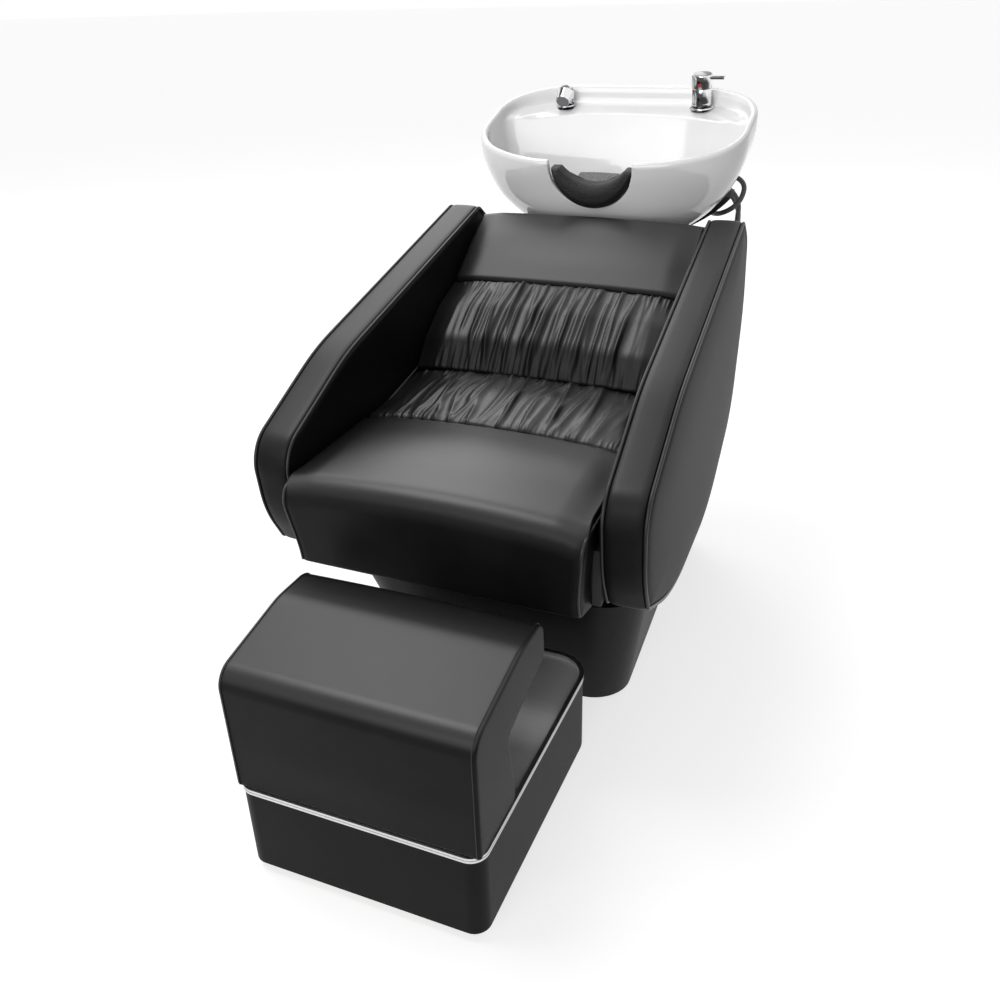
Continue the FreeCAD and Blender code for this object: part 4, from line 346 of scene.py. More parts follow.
@dataclass(frozen=True)
class BrushedSteel(Finish):
    """Steel or aluminium brushed along one way."""

    stretch: Point
    colour: Colour = (0.62, 0.62, 0.63, 1.0)
    roughness: float = 0.27
    metallic: float = 1.0

    def look(self, tree: Tree) -> dict[str, object]:
        """Build the brushed metal with long fine scratches."""
        scratches = tree.noise(1400.0, 4.0, self.stretch)
        streaks = tree.noise(260.0, 2.0, self.stretch)
        return dict(
            Base_Color=tree.tint(streaks, darker(self.colour, 0.86), self.colour),
            Metallic=self.metallic,
            Roughness=scratches * 0.16 + self.roughness,
            Normal=tree.bump(scratches, 0.00006, 0.5),
        )


@dataclass(frozen=True)
class Moulding(Finish):
    """Moulded plastic, powder coat or zinc: one colour with a fine surface."""

    colour: Colour
    roughness: float = 0.45
    metallic: float = 0.0
    texture: float = 600.0

    def look(self, tree: Tree) -> dict[str, object]:
        """Build the moulding with its spark texture and slight mottling."""
        spark = tree.noise(self.texture, 3.0)
        cloud = tree.noise(12.0, 2.0)
        return dict(
            Base_Color=tree.tint(cloud, darker(self.colour, 0.85), self.colour),
            Metallic=self.metallic,
            Roughness=spark * 0.12 + self.roughness,
            Normal=tree.bump(spark, 0.00015, 0.4),
        )


@dataclass(frozen=True)
class PebbledRubber(Finish):
    """Black cast foam rubber with a pebbled skin."""

    name: str = "neck_rubber"
    scale: float = 330.0

    def look(self, tree: Tree) -> dict[str, object]:
        """Build the rubber with raised pebbles."""
        pebbles = tree.cells(self.scale, "F1")
        fine = tree.noise(1500.0, 2.0)
        return dict(
            Base_Color=tree.tint(
                pebbles.fade(0.1, 0.8), (0.010, 0.010, 0.011, 1.0), (0.003, 0.003, 0.0035, 1.0)
            ),
            Roughness=fine * 0.15 + 0.42,
            IOR=1.36,
            Normal=tree.bump(pebbles * -1.0 + fine * 0.1, 0.0012, 1.0),
        )


@dataclass(frozen=True)
class WovenCloth(Finish):
    """Dark grey woven cloth."""

    name: str = "flap_cloth"
    threads: float = 1300.0

    def look(self, tree: Tree) -> dict[str, object]:
        """Build the cloth from crossing threads."""
        across = tree.noise(self.threads, 1.0, (1.0, 0.15, 0.15))
        along = tree.noise(self.threads, 1.0, (0.15, 1.0, 1.0))
        weave = across * along * 4.0
        return dict(
            Base_Color=tree.tint(weave.fade(0.4, 1.6), (0.09, 0.09, 0.092, 1.0), (0.28, 0.28, 0.285, 1.0)),
            Roughness=0.85,
            Normal=tree.bump(weave, 0.0004, 0.8),
            Sheen_Weight=0.2,
        )


@dataclass(frozen=True)
class BraidedSleeve(Finish):
    """Dark braided sleeve of a flexible hose."""

    name: str = "hose_braid"

    def look(self, tree: Tree) -> dict[str, object]:
        """Build the braid from two sets of crossing strands."""
        first = tree.noise(420.0, 0.0, (2.2, 0.8, 1.4)).fade(0.35, 0.65)
        second = tree.cells(640.0, "F1").fade(0.1, 0.7)
        weave = first * 0.5 + second * 0.5
        return dict(
            Base_Color=tree.tint(weave, (0.022, 0.022, 0.024, 1.0), (0.085, 0.085, 0.09, 1.0)),
            Roughness=weave * 0.2 + 0.35,
            Normal=tree.bump(weave, 0.0006, 0.7),
        )


@dataclass(frozen=True)
class PlyBoard(Finish):
    """Raw birch plywood."""

    name: str = "ply_board"

    def look(self, tree: Tree) -> dict[str, object]:
        """Build the board with long grain and edge plies."""
        grain = tree.noise(55.0, 5.0, (1.0, 0.06, 3.0))
        return dict(
            Base_Color=tree.tint(grain.fade(0.3, 0.7), (0.36, 0.24, 0.13, 1.0), (0.52, 0.38, 0.23, 1.0)),
            Roughness=grain * 0.2 + 0.6,
            Normal=tree.bump(grain, 0.0004, 0.4),
        )


@dataclass
class Finishes:
    """The finishes of the bed, each made once when first asked for."""

    made: dict[str, bpy.types.Material] = field(default_factory=dict)

    def get(self, finish: Finish) -> bpy.types.Material:
        """The material of a finish."""
        if finish.name not in self.made:
            self.made[finish.name] = finish.make()
        return self.made[finish.name]


FINISHES = Finishes()
LEATHER = Leather()
# painted sheen: the welts take 0.3 and the arm bands 0.5 of the painted top sheen on up-facing surfaces
WELT_LEATHER = Leather(
    "welt_leather", (0.010, 0.010, 0.011, 1.0), (0.014, 0.014, 0.015, 1.0), 0.30, Grain.FINE, 1.36, 0.3
)
BAND_LEATHER = Leather("band_leather", painted_top_sheen=0.5)
COVER_LEATHER = Leather("cover_leather", roughness=0.46, ior=1.16)
BASE_LEATHER = Leather(
    "base_leather", (0.004, 0.004, 0.0045, 1.0), (0.006, 0.006, 0.0066, 1.0), 0.45, Grain.FINE
)
GLAZE = GlazedCeramic()
# painted reflections: the chrome's dark bands drop to 0.08 of its colour, the brass's only to 0.94
CHROME = PolishedMetal("chrome", (0.86, 0.86, 0.88, 1.0), reflection_dark_share=0.08)
BRASS = PolishedMetal("turned_brass", (0.70, 0.52, 0.24, 1.0), 0.22)
STEP_STEEL = BrushedSteel("brushed_step_steel", (0.04, 1.0, 1.0), (0.94, 0.94, 0.95, 1.0), 0.40, 0.0)
TRIM_STEEL = BrushedSteel("brushed_trim_steel", (1.0, 1.0, 0.05), (0.72, 0.72, 0.73, 1.0), 0.22)
ZINC = Moulding("zinc_plate", (0.55, 0.55, 0.56, 1.0), 0.35, 1.0)
BLACK_PLASTIC = Moulding("black_moulding", (0.014, 0.014, 0.015, 1.0), 0.42)
GLIDE_PLASTIC = Moulding("glide_plastic", (0.010, 0.010, 0.010, 1.0), 0.38)
WHITE_PLASTIC = Moulding("white_plastic", (0.70, 0.70, 0.70, 1.0), 0.35)
GREY_PLASTIC = Moulding("spray_face_grey", (0.18, 0.18, 0.19, 1.0), 0.4)
RED_ENAMEL = Moulding("red_enamel", (0.55, 0.01, 0.01, 1.0), 0.2)
POWDER_COAT = Moulding("powder_coat", (0.02, 0.02, 0.022, 1.0), 0.5, 0.0, 900.0)
HOSE_BRAID = BraidedSleeve()
BLACK_BOARD = Moulding("black_board", (0.010, 0.010, 0.010, 1.0), 0.6, 0.0, 300.0)
HOSE_RUBBER = Moulding("hose_rubber", (0.035, 0.035, 0.037, 1.0), 0.38, 0.0, 1200.0)
NECK_RUBBER = PebbledRubber()
FLAP_CLOTH = WovenCloth()
BOARD = PlyBoard()


# Outlines


def wave(degrees: float) -> tuple[float, float]:
    """Cosine and sine of an angle in degrees."""
    angle = math.radians(degrees)
    return math.cos(angle), math.sin(angle)


def scaled(
    shares: Sequence[Corner], start: float, length: float, foot: float, height: float
) -> list[Corner]:
    """Corners in millimetres from their shares of an outline's length and height."""
    return [(start + a * length, foot + b * height, turn * height) for a, b, turn in shares]


def corner_turns(corners: Sequence[Corner]) -> list[tuple[np.ndarray, np.ndarray, float]]:
    """The way in, way out and turn at each corner of a closed outline."""
    found = []
    count = len(corners)
    for index in range(count):
        before, here, after = (np.array(corners[(index + step) % count][:2], float) for step in (-1, 0, 1))
        way_in = (here - before) / np.linalg.norm(here - before)
        way_out = (after - here) / np.linalg.norm(after - here)
        cross = way_in[0] * way_out[1] - way_in[1] * way_out[0]
        found.append((way_in, way_out, math.atan2(cross, float(way_in @ way_out))))
    return found


def inset(corners: Sequence[Corner], amount: float) -> list[Corner]:
    """Move an anticlockwise outline inward.

    Args:
        corners: two coordinates and a radius for each corner.
        amount: how far inward, or outward if negative.

    Returns:
        The moved corners with changed radii.
    """
    moved = []
    for (a, b, radius), (way_in, way_out, turn) in zip(corners, corner_turns(corners)):
        left_in = np.array((-way_in[1], way_in[0]))
        left_out = np.array((-way_out[1], way_out[0]))
        shift = (left_in + left_out) * amount / (1 + float(left_in @ left_out))
        change = -amount if turn > 0 else amount
        moved.append((a + shift[0], b + shift[1], max(radius + change, 0.1) if radius > 0 else 0.0))
    return moved


def resample(points: np.ndarray, count: int, closed: bool = True) -> np.ndarray:
    """Space points evenly along a line.

    Args:
        points: the line's points.
        count: how many to return.
        closed: whether the line runs back to its start.

    Returns:
        The evenly spaced points.
    """
    line = np.vstack([points, points[:1]]) if closed else points
    lengths = np.concatenate([[0.0], np.cumsum(np.linalg.norm(np.diff(line, axis=0), axis=1))])
    wanted = np.linspace(0.0, lengths[-1], count, endpoint=not closed)
    return np.column_stack([np.interp(wanted, lengths, line[:, axis]) for axis in range(line.shape[1])])


def rounded_outline(corners: Sequence[Corner], count: int, arc_steps: int = 16) -> np.ndarray:
    """Points along a closed outline of straight runs and tangent arcs.

    Args:
        corners: two coordinates and a radius for each corner.
        count: how many points to return.
        arc_steps: how finely each arc is followed.

    Returns:
        Evenly spaced points.
    """
    points = []
    for (a, b, radius), (way_in, way_out, turn) in zip(corners, corner_turns(corners)):
        corner = np.array((a, b), float)
        if radius <= 0 or abs(turn) < 1e-6:
            points.append(corner)
            continue
        reach = radius * math.tan(abs(turn) / 2)
        start = corner - way_in * reach
        inward = np.array((-way_in[1], way_in[0])) * math.copysign(1.0, turn)
        centre = start + inward * radius
        for step in range(arc_steps + 1):
            angle = turn * step / arc_steps
            spoke = start - centre
            cosine, sine = math.cos(angle), math.sin(angle)
            points.append(
                centre
                + np.array((spoke[0] * cosine - spoke[1] * sine, spoke[0] * sine + spoke[1] * cosine))
            )
    return resample(np.array(points), count)


def smooth_step(value: np.ndarray, low: float, high: float) -> np.ndarray:
    """Rise smoothly from 0 at low to 1 at high."""
    t = np.clip((value - low) / (high - low), 0.0, 1.0)
    return t * t * (3 - 2 * t)


# Meshes


def put(name: str, data: bpy.types.ID) -> bpy.types.Object:
    """Stand an object with its data in the scene."""
    made = bpy.data.objects.new(name, data)
    bpy.context.scene.collection.objects.link(made)
    return made


def worked_out(piece: bpy.types.Object) -> bpy.types.Mesh:
    """The mesh of an object as it is after its modifiers or spline."""
    graph = bpy.context.evaluated_depsgraph_get()
    return bpy.data.meshes.new_from_object(piece.evaluated_get(graph))


class MeshShop:
    """Builds mesh objects from rings of points given in millimetres."""

    @staticmethod
    def grid_faces(rows: int, columns: int, closed: bool, ends: bool) -> list[tuple[int, ...]]:
        """Join closed rings of points that are stored ring by ring.

        Args:
            rows: how many rings there are.
            columns: how many points a ring has.
            closed: whether the last ring joins the first.
            ends: whether a face closes each end.

        Returns:
            The corner indexes of each face.
        """
        faces = []
        for row in range(rows if closed else rows - 1):
            here, below = row * columns, (row + 1) % rows * columns
            for column in range(columns):
                right = (column + 1) % columns
                faces.append((here + column, here + right, below + right, below + column))
        if ends:
            faces += [tuple(range(columns)), tuple(range((rows - 1) * columns, rows * columns))]
        return faces

    @classmethod
    def publish(
        cls,
        name: str,
        rings: Sequence[np.ndarray],
        finish: Finish,
        closed: bool = False,
        ends: bool = False,
    ) -> bpy.types.Object:
        """Make an object from closed rings of points.

        Args:
            name: the object's name.
            rings: rings of equal point counts in millimetres.
            finish: the finish that it wears.
            closed: whether the last ring joins the first.
            ends: whether a face closes each end.

        Returns:
            The smooth shaded object with outward normals.
        """
        mesh = bpy.data.meshes.new(name)
        points = (np.vstack(rings) * MM).tolist()
        mesh.from_pydata(points, [], cls.grid_faces(len(rings), len(rings[0]), closed, ends))
        work = bmesh.new()
        work.from_mesh(mesh)
        bmesh.ops.remove_doubles(work, verts=work.verts, dist=WELD)
        bmesh.ops.recalc_face_normals(work, faces=work.faces)
        for face in work.faces:
            face.smooth = True
        work.to_mesh(mesh)
        work.free()
        mesh.materials.append(FINISHES.get(finish))
        return put(name, mesh)

    @classmethod
    def loft(
        cls, name: str, rings: Sequence[np.ndarray], finish: Finish, caps: int = 0, swell: float = 0.0,
    ) -> bpy.types.Object:
        """Skin closed rings of equal point counts.

        Args:
            name: the object's name.
            rings: the rings in order.
            finish: the finish that it wears.
            caps: how many shrinking rings close each end, or 0 for open ends.
            swell: how far the middle of each cap stands out.

        Returns:
            The object.
        """
        if caps:
            first = cls.cap_rings(rings[0], rings[1], caps, swell)
            last = cls.cap_rings(rings[-1], rings[-2], caps, swell)
            rings = [*first[::-1], *rings, *last]
        return cls.publish(name, rings, finish, ends=caps > 0)

    @staticmethod
    def cap_rings(edge: np.ndarray, behind: np.ndarray, count: int, swell: float) -> list[np.ndarray]:
        """Rings that close an end, from the edge to near its middle."""
        centre = edge.mean(axis=0)
        way = centre - behind.mean(axis=0)
        way /= max(np.linalg.norm(way), 1e-9)
        rings = []
        for step in range(1, count + 1):
            share = 1 - step / (count + 0.5)
            rings.append(centre + (edge - centre) * share + way * swell * (1 - share ** 3))
        return rings

    @classmethod
    def turned(cls, name: str, profile: Profile, finish: Finish) -> bpy.types.Object:
        """Turn pairs of radius and height about Z, closed where the radius is 0."""
        angles = np.arange(SEGMENTS) * TURN / SEGMENTS
        rings = [
            np.column_stack([radius * np.cos(angles), radius * np.sin(angles), np.full(SEGMENTS, height)])
            for radius, height in profile
        ]
        return cls.publish(name, rings, finish)

    @classmethod
    def tube(
        cls,
        name: str,
        path: np.ndarray,
        radius: float,
        finish: Finish,
        closed: bool = False,
        sides: int = 14,
        rib: float = 0.0,
    ) -> bpy.types.Object:
        """Run a round section along a path.

        Args:
            name: the object's name.
            path: points in millimetres.
            radius: the section's radius.
            finish: the finish that it wears.
            closed: whether the path runs back to its start.
            sides: how many sides the section has.
            rib: the length of one rib of a corrugated tube, or 0 for a smooth one.

        Returns:
            The object.
        """
        path = np.asarray(path, float)
        if closed:
            ways = np.roll(path, -1, axis=0) - np.roll(path, 1, axis=0)
        else:
            ways = np.gradient(path, axis=0)
        ways /= np.linalg.norm(ways, axis=1)[:, None]
        side = np.cross(ways[0], (0.0, 0.0, 1.0))
        if np.linalg.norm(side) < 1e-3:
            side = np.cross(ways[0], (1.0, 0.0, 0.0))
        side /= np.linalg.norm(side)
        angles = np.arange(sides) * TURN / sides
        run = np.concatenate([[0.0], np.cumsum(np.linalg.norm(np.diff(path, axis=0), axis=1))])
        rings = []
        for spot, way, along in zip(path, ways, run):
            side = side - way * float(side @ way)
            side /= np.linalg.norm(side)
            up = np.cross(way, side)
            size = radius - (0.7 - 0.7 * math.cos(TURN * along / rib) if rib else 0.0)
            rings.append(spot + size * (np.cos(angles)[:, None] * side + np.sin(angles)[:, None] * up))
        return cls.publish(name, rings, finish, closed, not closed)

    @staticmethod
    def modify(piece: bpy.types.Object, kind: str, **settings: object) -> None:
        """Add a modifier and set it up."""
        modifier = piece.modifiers.new(kind.lower(), kind)
        for key, value in settings.items():
            setattr(modifier, key, value)

    @staticmethod
    def settle(piece: bpy.types.Object) -> None:
        """Apply every modifier of a piece to its mesh."""
        mesh, old = worked_out(piece), piece.data
        piece.modifiers.clear()
        piece.data = mesh
        bpy.data.meshes.remove(old)

    @staticmethod
    def finish_piece(piece: bpy.types.Object, body: Body, slot: str, *nodes: str) -> None:
        """Put a piece on its body and hide the nodes that it replaces.

        Args:
            piece: the finished piece.
            body: the body that it rides on.
            slot: the material slot that it takes its finish from; not used.
            nodes: the nodes that it replaces.
        """
        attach(piece, body.value)
        if nodes:
            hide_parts(*nodes)
        LOG.info("%s: %d points on %s", piece.name, len(piece.data.vertices), body.value)


def dress_nodes(**finishes: Finish) -> None:
    """Give carried-over nodes their finishes.

    Args:
        finishes: a finish for each node by name.
    """
    for node, finish in finishes.items():
        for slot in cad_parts[node].material_slots:
            slot.link = "DATA"
            slot.material = FINISHES.get(finish)
        LOG.info("%s: dressed", node)


@dataclass
class Footrest:
    """The loose footrest: leather box, steel trim and the padded roll."""

    half_width: float = 205.0
    front: float = -688.0
    pad_foot: float = 174.0
    pad_height: float = 253.0
    pad_depth: float = 257.0
    seam_inset: float = 6.0
    seam_radius: float = 0.9
    crown: float = 2.2
    crown_reach: float = 140.0
    edge_steps: Profile = ((-1.0, 7.0), (-0.999, 3.8), (-0.994, 1.4), (-0.985, 0.3), (-0.97, 0.0))
    outline: tuple[Corner, ...] = (
        (0.008, 0.0, 0.012),
        (0.5175, 0.0, 0.012),
        (0.44, 0.573, 0.1),
        (1.0, 0.684, 0.05),
        (0.984, 0.972, 0.11),
        (0.634, 0.974, 0.6),
        (0.0, 0.838, 0.15),
    )

    def profile(self) -> list[Corner]:
        """The roll's side outline in millimetres."""
        return scaled(self.outline, self.front, self.pad_depth, self.pad_foot, self.pad_height)

    def build_roll(self) -> None:
        """Build the padded roll with soft ends and a slight crown."""
        corners = self.profile()
        stations = [*self.edge_steps, *((share, 0.0) for share in np.linspace(-0.94, 0.94, 61))]
        stations += [(-share, amount) for share, amount in reversed(self.edge_steps)]
        rings = []
        for share, amount in stations:
            ring = rounded_outline(inset(corners, amount), 420)
            crown = self.crown * (1 - share ** 2)
            centre = ring.mean(axis=0)
            above = smooth_step(ring[:, 1], self.pad_foot + 20.0, self.pad_foot + 90.0)
            ring = centre + (ring - centre) * (1 + crown / self.crown_reach * above[:, None])
            ring[:, 1] = np.maximum(ring[:, 1], self.pad_foot + 0.3)
            rings.append(np.column_stack([np.full(len(ring), share * self.half_width), ring]))
        roll = MeshShop.loft("footrest_roll", rings, LEATHER, caps=14, swell=1.6)
        MeshShop.finish_piece(roll, Body.FOOTREST, "black_leather", "footrest_pad")

    def build_seams(self) -> None:
        """Build the stitched seam round each end of the roll."""
        for side in Side:
            ring = rounded_outline(inset(self.profile(), -0.6), 420)
            x = side.value * (self.half_width - self.seam_inset)
            path = np.column_stack([np.full(len(ring), x), ring])
            path = path[path[:, 2] > self.pad_foot + 3]
            start = int(np.argmax(np.linalg.norm(np.diff(path, axis=0), axis=1))) + 1
            path = np.roll(path, -start, axis=0)
            seam = MeshShop.tube(f"roll_seam_{side.word}", path, self.seam_radius, WELT_LEATHER, sides=8)
            MeshShop.finish_piece(seam, Body.FOOTREST, "black_leather")

    def build(self) -> None:
        """Build and dress the whole footrest."""
        self.build_roll()
        self.build_seams()
        dress_nodes(
            footrest_base=BASE_LEATHER, footrest_floor_board=BOARD, footrest_glides=GLIDE_PLASTIC,
            footrest_trim=TRIM_STEEL, footrest_step_plate=STEP_STEEL, footrest_pad_core=BLACK_BOARD,
        )


class Pedestal:
    """The tapered tub, the seat box on it and the column with its steel frame."""

    def build(self) -> None:
        """Dress the carried-over nodes."""
        dress_nodes(
            pedestal_shell=BASE_LEATHER, pedestal_floor_board=BOARD, chair_glides=GLIDE_PLASTIC,
            seat_frame=BLACK_BOARD, seat_board=BLACK_BOARD, back_board=BLACK_BOARD, arm_cores=BOARD,
            arm_bolts=ZINC, column_shell=BLACK_PLASTIC, rear_access_panel=BLACK_PLASTIC,
            rear_panel_screws=ZINC, column_frame=POWDER_COAT, pivot_bushes=BRASS, supply_inlets=BRASS,
            waste_pipe=WHITE_PLASTIC,
        )


@dataclass
class ArmSlab:
    """One leather arm: band, inner and outer covers and two welts."""

    side: Side
    inner_offset: float = 242.0
    reference: float = 358.0
    foot: float = 306.0
    splay: float = 1.93
    front: float = -734.0
    depth: float = 844.0
    height: float = 532.0
    thickness: float = 71.0
    cover: float = 6.0
    welt: float = 3.0
    crown: float = 8.0
    padding: float = 1.2
    tuck: Profile = ((0.0, 7.0), (0.0, 4.2), (0.6, 2.4), (2.2, 1.0), (5.5, 0.2))
    outline: tuple[Corner, ...] = (
        (0.890, 0.998, 0.034),
        (0.250, 0.722, 0.93),
        (0.001, 0.524, 0.132),
        (0.0166, 0.2895, 0.376),
        (0.0604, 0.160, 0.023),
        (0.2737, 0.0, 0.93),
        (0.6706, 0.0, 0.65),
        (0.931, 0.229, 0.28),
        (0.999, 0.628, 0.47),
        (0.962, 0.9135, 0.15),
    )

    def corners(self) -> list[Corner]:
        """The side outline in the arm's own frame."""
        return scaled(self.outline, self.front, self.depth, 0.0, self.height)

    def stand(self, points: np.ndarray) -> np.ndarray:
        """Move points of the arm's own frame to their place on the bed."""
        cosine, sine = wave(self.splay)
        x = self.inner_offset + points[:, 0] * cosine - points[:, 1] * sine
        y = self.reference + points[:, 0] * sine + points[:, 1] * cosine
        return np.column_stack([x * self.side.value, y, self.foot + points[:, 2]])

    def ring(self, station: float, amount: float, count: int = 360) -> np.ndarray:
        """One closed line round the arm at a station of its thickness."""
        line = rounded_outline(inset(self.corners(), amount), count)
        return np.column_stack([np.full(count, station), line])

    def build_band(self) -> None:
        """Build the band that wraps the edge, slightly padded and tucked at the welts."""
        low, high = self.cover + 0.2, self.thickness - self.cover - 0.2
        section = [(low + along, deep) for along, deep in self.tuck]
        for share in np.linspace(0.15, 0.85, 9):
            section.append((low + (high - low) * share, -self.padding * (1 - (2 * share - 1) ** 2)))
        section += [(high - along, deep) for along, deep in reversed(self.tuck)]
        rings = []
        for station, amount in section:
            ring = self.ring(station, max(amount, 0.0))
            if amount < 0:
                floor = ring[:, 2] < 2.0
                centre = np.array((0.0, ring[:, 1].mean(), ring[:, 2].mean()))
                away = ring - centre
                away[:, 0] = 0
                away /= np.linalg.norm(away, axis=1)[:, None]
                ring = ring - away * amount * (~floor)[:, None]
            rings.append(self.stand(ring))
        band = MeshShop.loft(f"{self.side.word}_arm_edge", rings + [rings[0]], BAND_LEATHER)
        MeshShop.finish_piece(band, Body.CHAIR, "black_leather", f"{self.side.word}_arm_band")

    def build_cover(self, name: str, start: float, sign: float, crown: float, *nodes: str) -> None:
        """Build one side panel, crowned to its middle.

        Args:
            name: the piece's name.
            start: the station at which the panel meets the band.
            sign: which way the panel faces across the arm.
            crown: how far its middle stands out.
            nodes: the nodes that it replaces.
        """
        edge = self.ring(start, self.cover + 0.2)
        centre = edge.mean(axis=0)
        rings = [self.stand(edge)]
        for share in (1.0, 0.996, 0.988, 0.975, 0.955, 0.92, 0.86, 0.78, 0.66, 0.5, 0.3, 0.1):
            inner = centre + (edge - centre) * share
            rise = self.cover * min(1.0, math.sqrt((1 - share) * 26 + 0.18)) + crown * (1 - share ** 5)
            inner[:, 0] = start + sign * rise
            rings.append(self.stand(inner))
        cover = MeshShop.publish(name, rings, COVER_LEATHER, ends=True)
        MeshShop.finish_piece(cover, Body.CHAIR, "black_leather", *nodes)

    def build_welts(self) -> None:
        """Build the welt along each edge."""
        for face, station in (("inner", self.welt), ("outer", self.thickness - self.welt)):
            path = self.stand(self.ring(station, self.welt, 520))
            name = f"{self.side.word}_{face}_welt"
            welt = MeshShop.tube(name, path, self.welt, WELT_LEATHER, closed=True)
            nodes = ("arm_piping",) if face == "inner" else ()
            MeshShop.finish_piece(welt, Body.CHAIR, "black_leather", *nodes)

    def build(self) -> None:
        """Build the whole arm."""
        hand = self.side.word
        self.build_band()
        outer_start = self.thickness - self.cover
        self.build_cover(f"{hand}_outer_panel", outer_start, 1.0, self.crown, f"{hand}_arm_outer_cover")
        self.build_cover(f"{hand}_inner_panel", self.cover, -1.0, 0.0, "arm_inner_covers")
        self.build_welts()


@dataclass
class FoldPattern:
    """Gathers of a leather panel: many soft ridges across its width."""

    seed: int
    count: int
    spread: float
    height: float
    width: float
    drift: float

    def lift(self, x: np.ndarray, along: np.ndarray) -> np.ndarray:
        """The height of the gathers.

        Args:
            x: distance across the panel in millimetres.
            along: 0 at one seam and 1 at the other.

        Returns:
            How far the leather stands out.
        """
        chance = random.Random(self.seed)
        total = np.zeros_like(x)
        for index in range(self.count):
            base = -self.spread + 2 * self.spread * (index + 0.5) / self.count
            centre = base + chance.uniform(-0.55, 0.55) * 2 * self.spread / self.count
            width = self.width * chance.uniform(0.55, 1.35)
            height = self.height * chance.uniform(0.45, 1.25)
            lean = chance.uniform(-1, 1) * self.drift + self.drift * 0.6 * centre / self.spread
            bow = chance.uniform(-1, 1) * self.drift * 0.6
            start, end = chance.uniform(-0.5, 0.25), chance.uniform(0.75, 1.5)
            line = centre + lean * (along - 0.5) + bow * np.sin(math.pi * along)
            reach = smooth_step(along, start, start + 0.22) * (1 - smooth_step(along, end - 0.22, end))
            fade = 1 - 0.85 * smooth_step(np.abs(x), self.spread * 0.5, self.spread)
            total += height * np.exp(-np.abs((x - line) / width) ** 1.7) * reach * fade
        for index in range(self.count * 3):
            seam = index % 2
            centre = self.spread * 1.05 * chance.uniform(-1, 1)
            width = self.width * chance.uniform(0.25, 0.5)
            height = self.height * chance.uniform(0.25, 0.65)
            inward = np.abs(along - seam)
            line = centre + chance.uniform(-0.5, 0.5) * self.drift * inward
            reach = 1 - smooth_step(inward, 0.0, chance.uniform(0.12, 0.34))
            total += height * np.exp(-np.abs((x - line) / width) ** 1.6) * reach
        return total


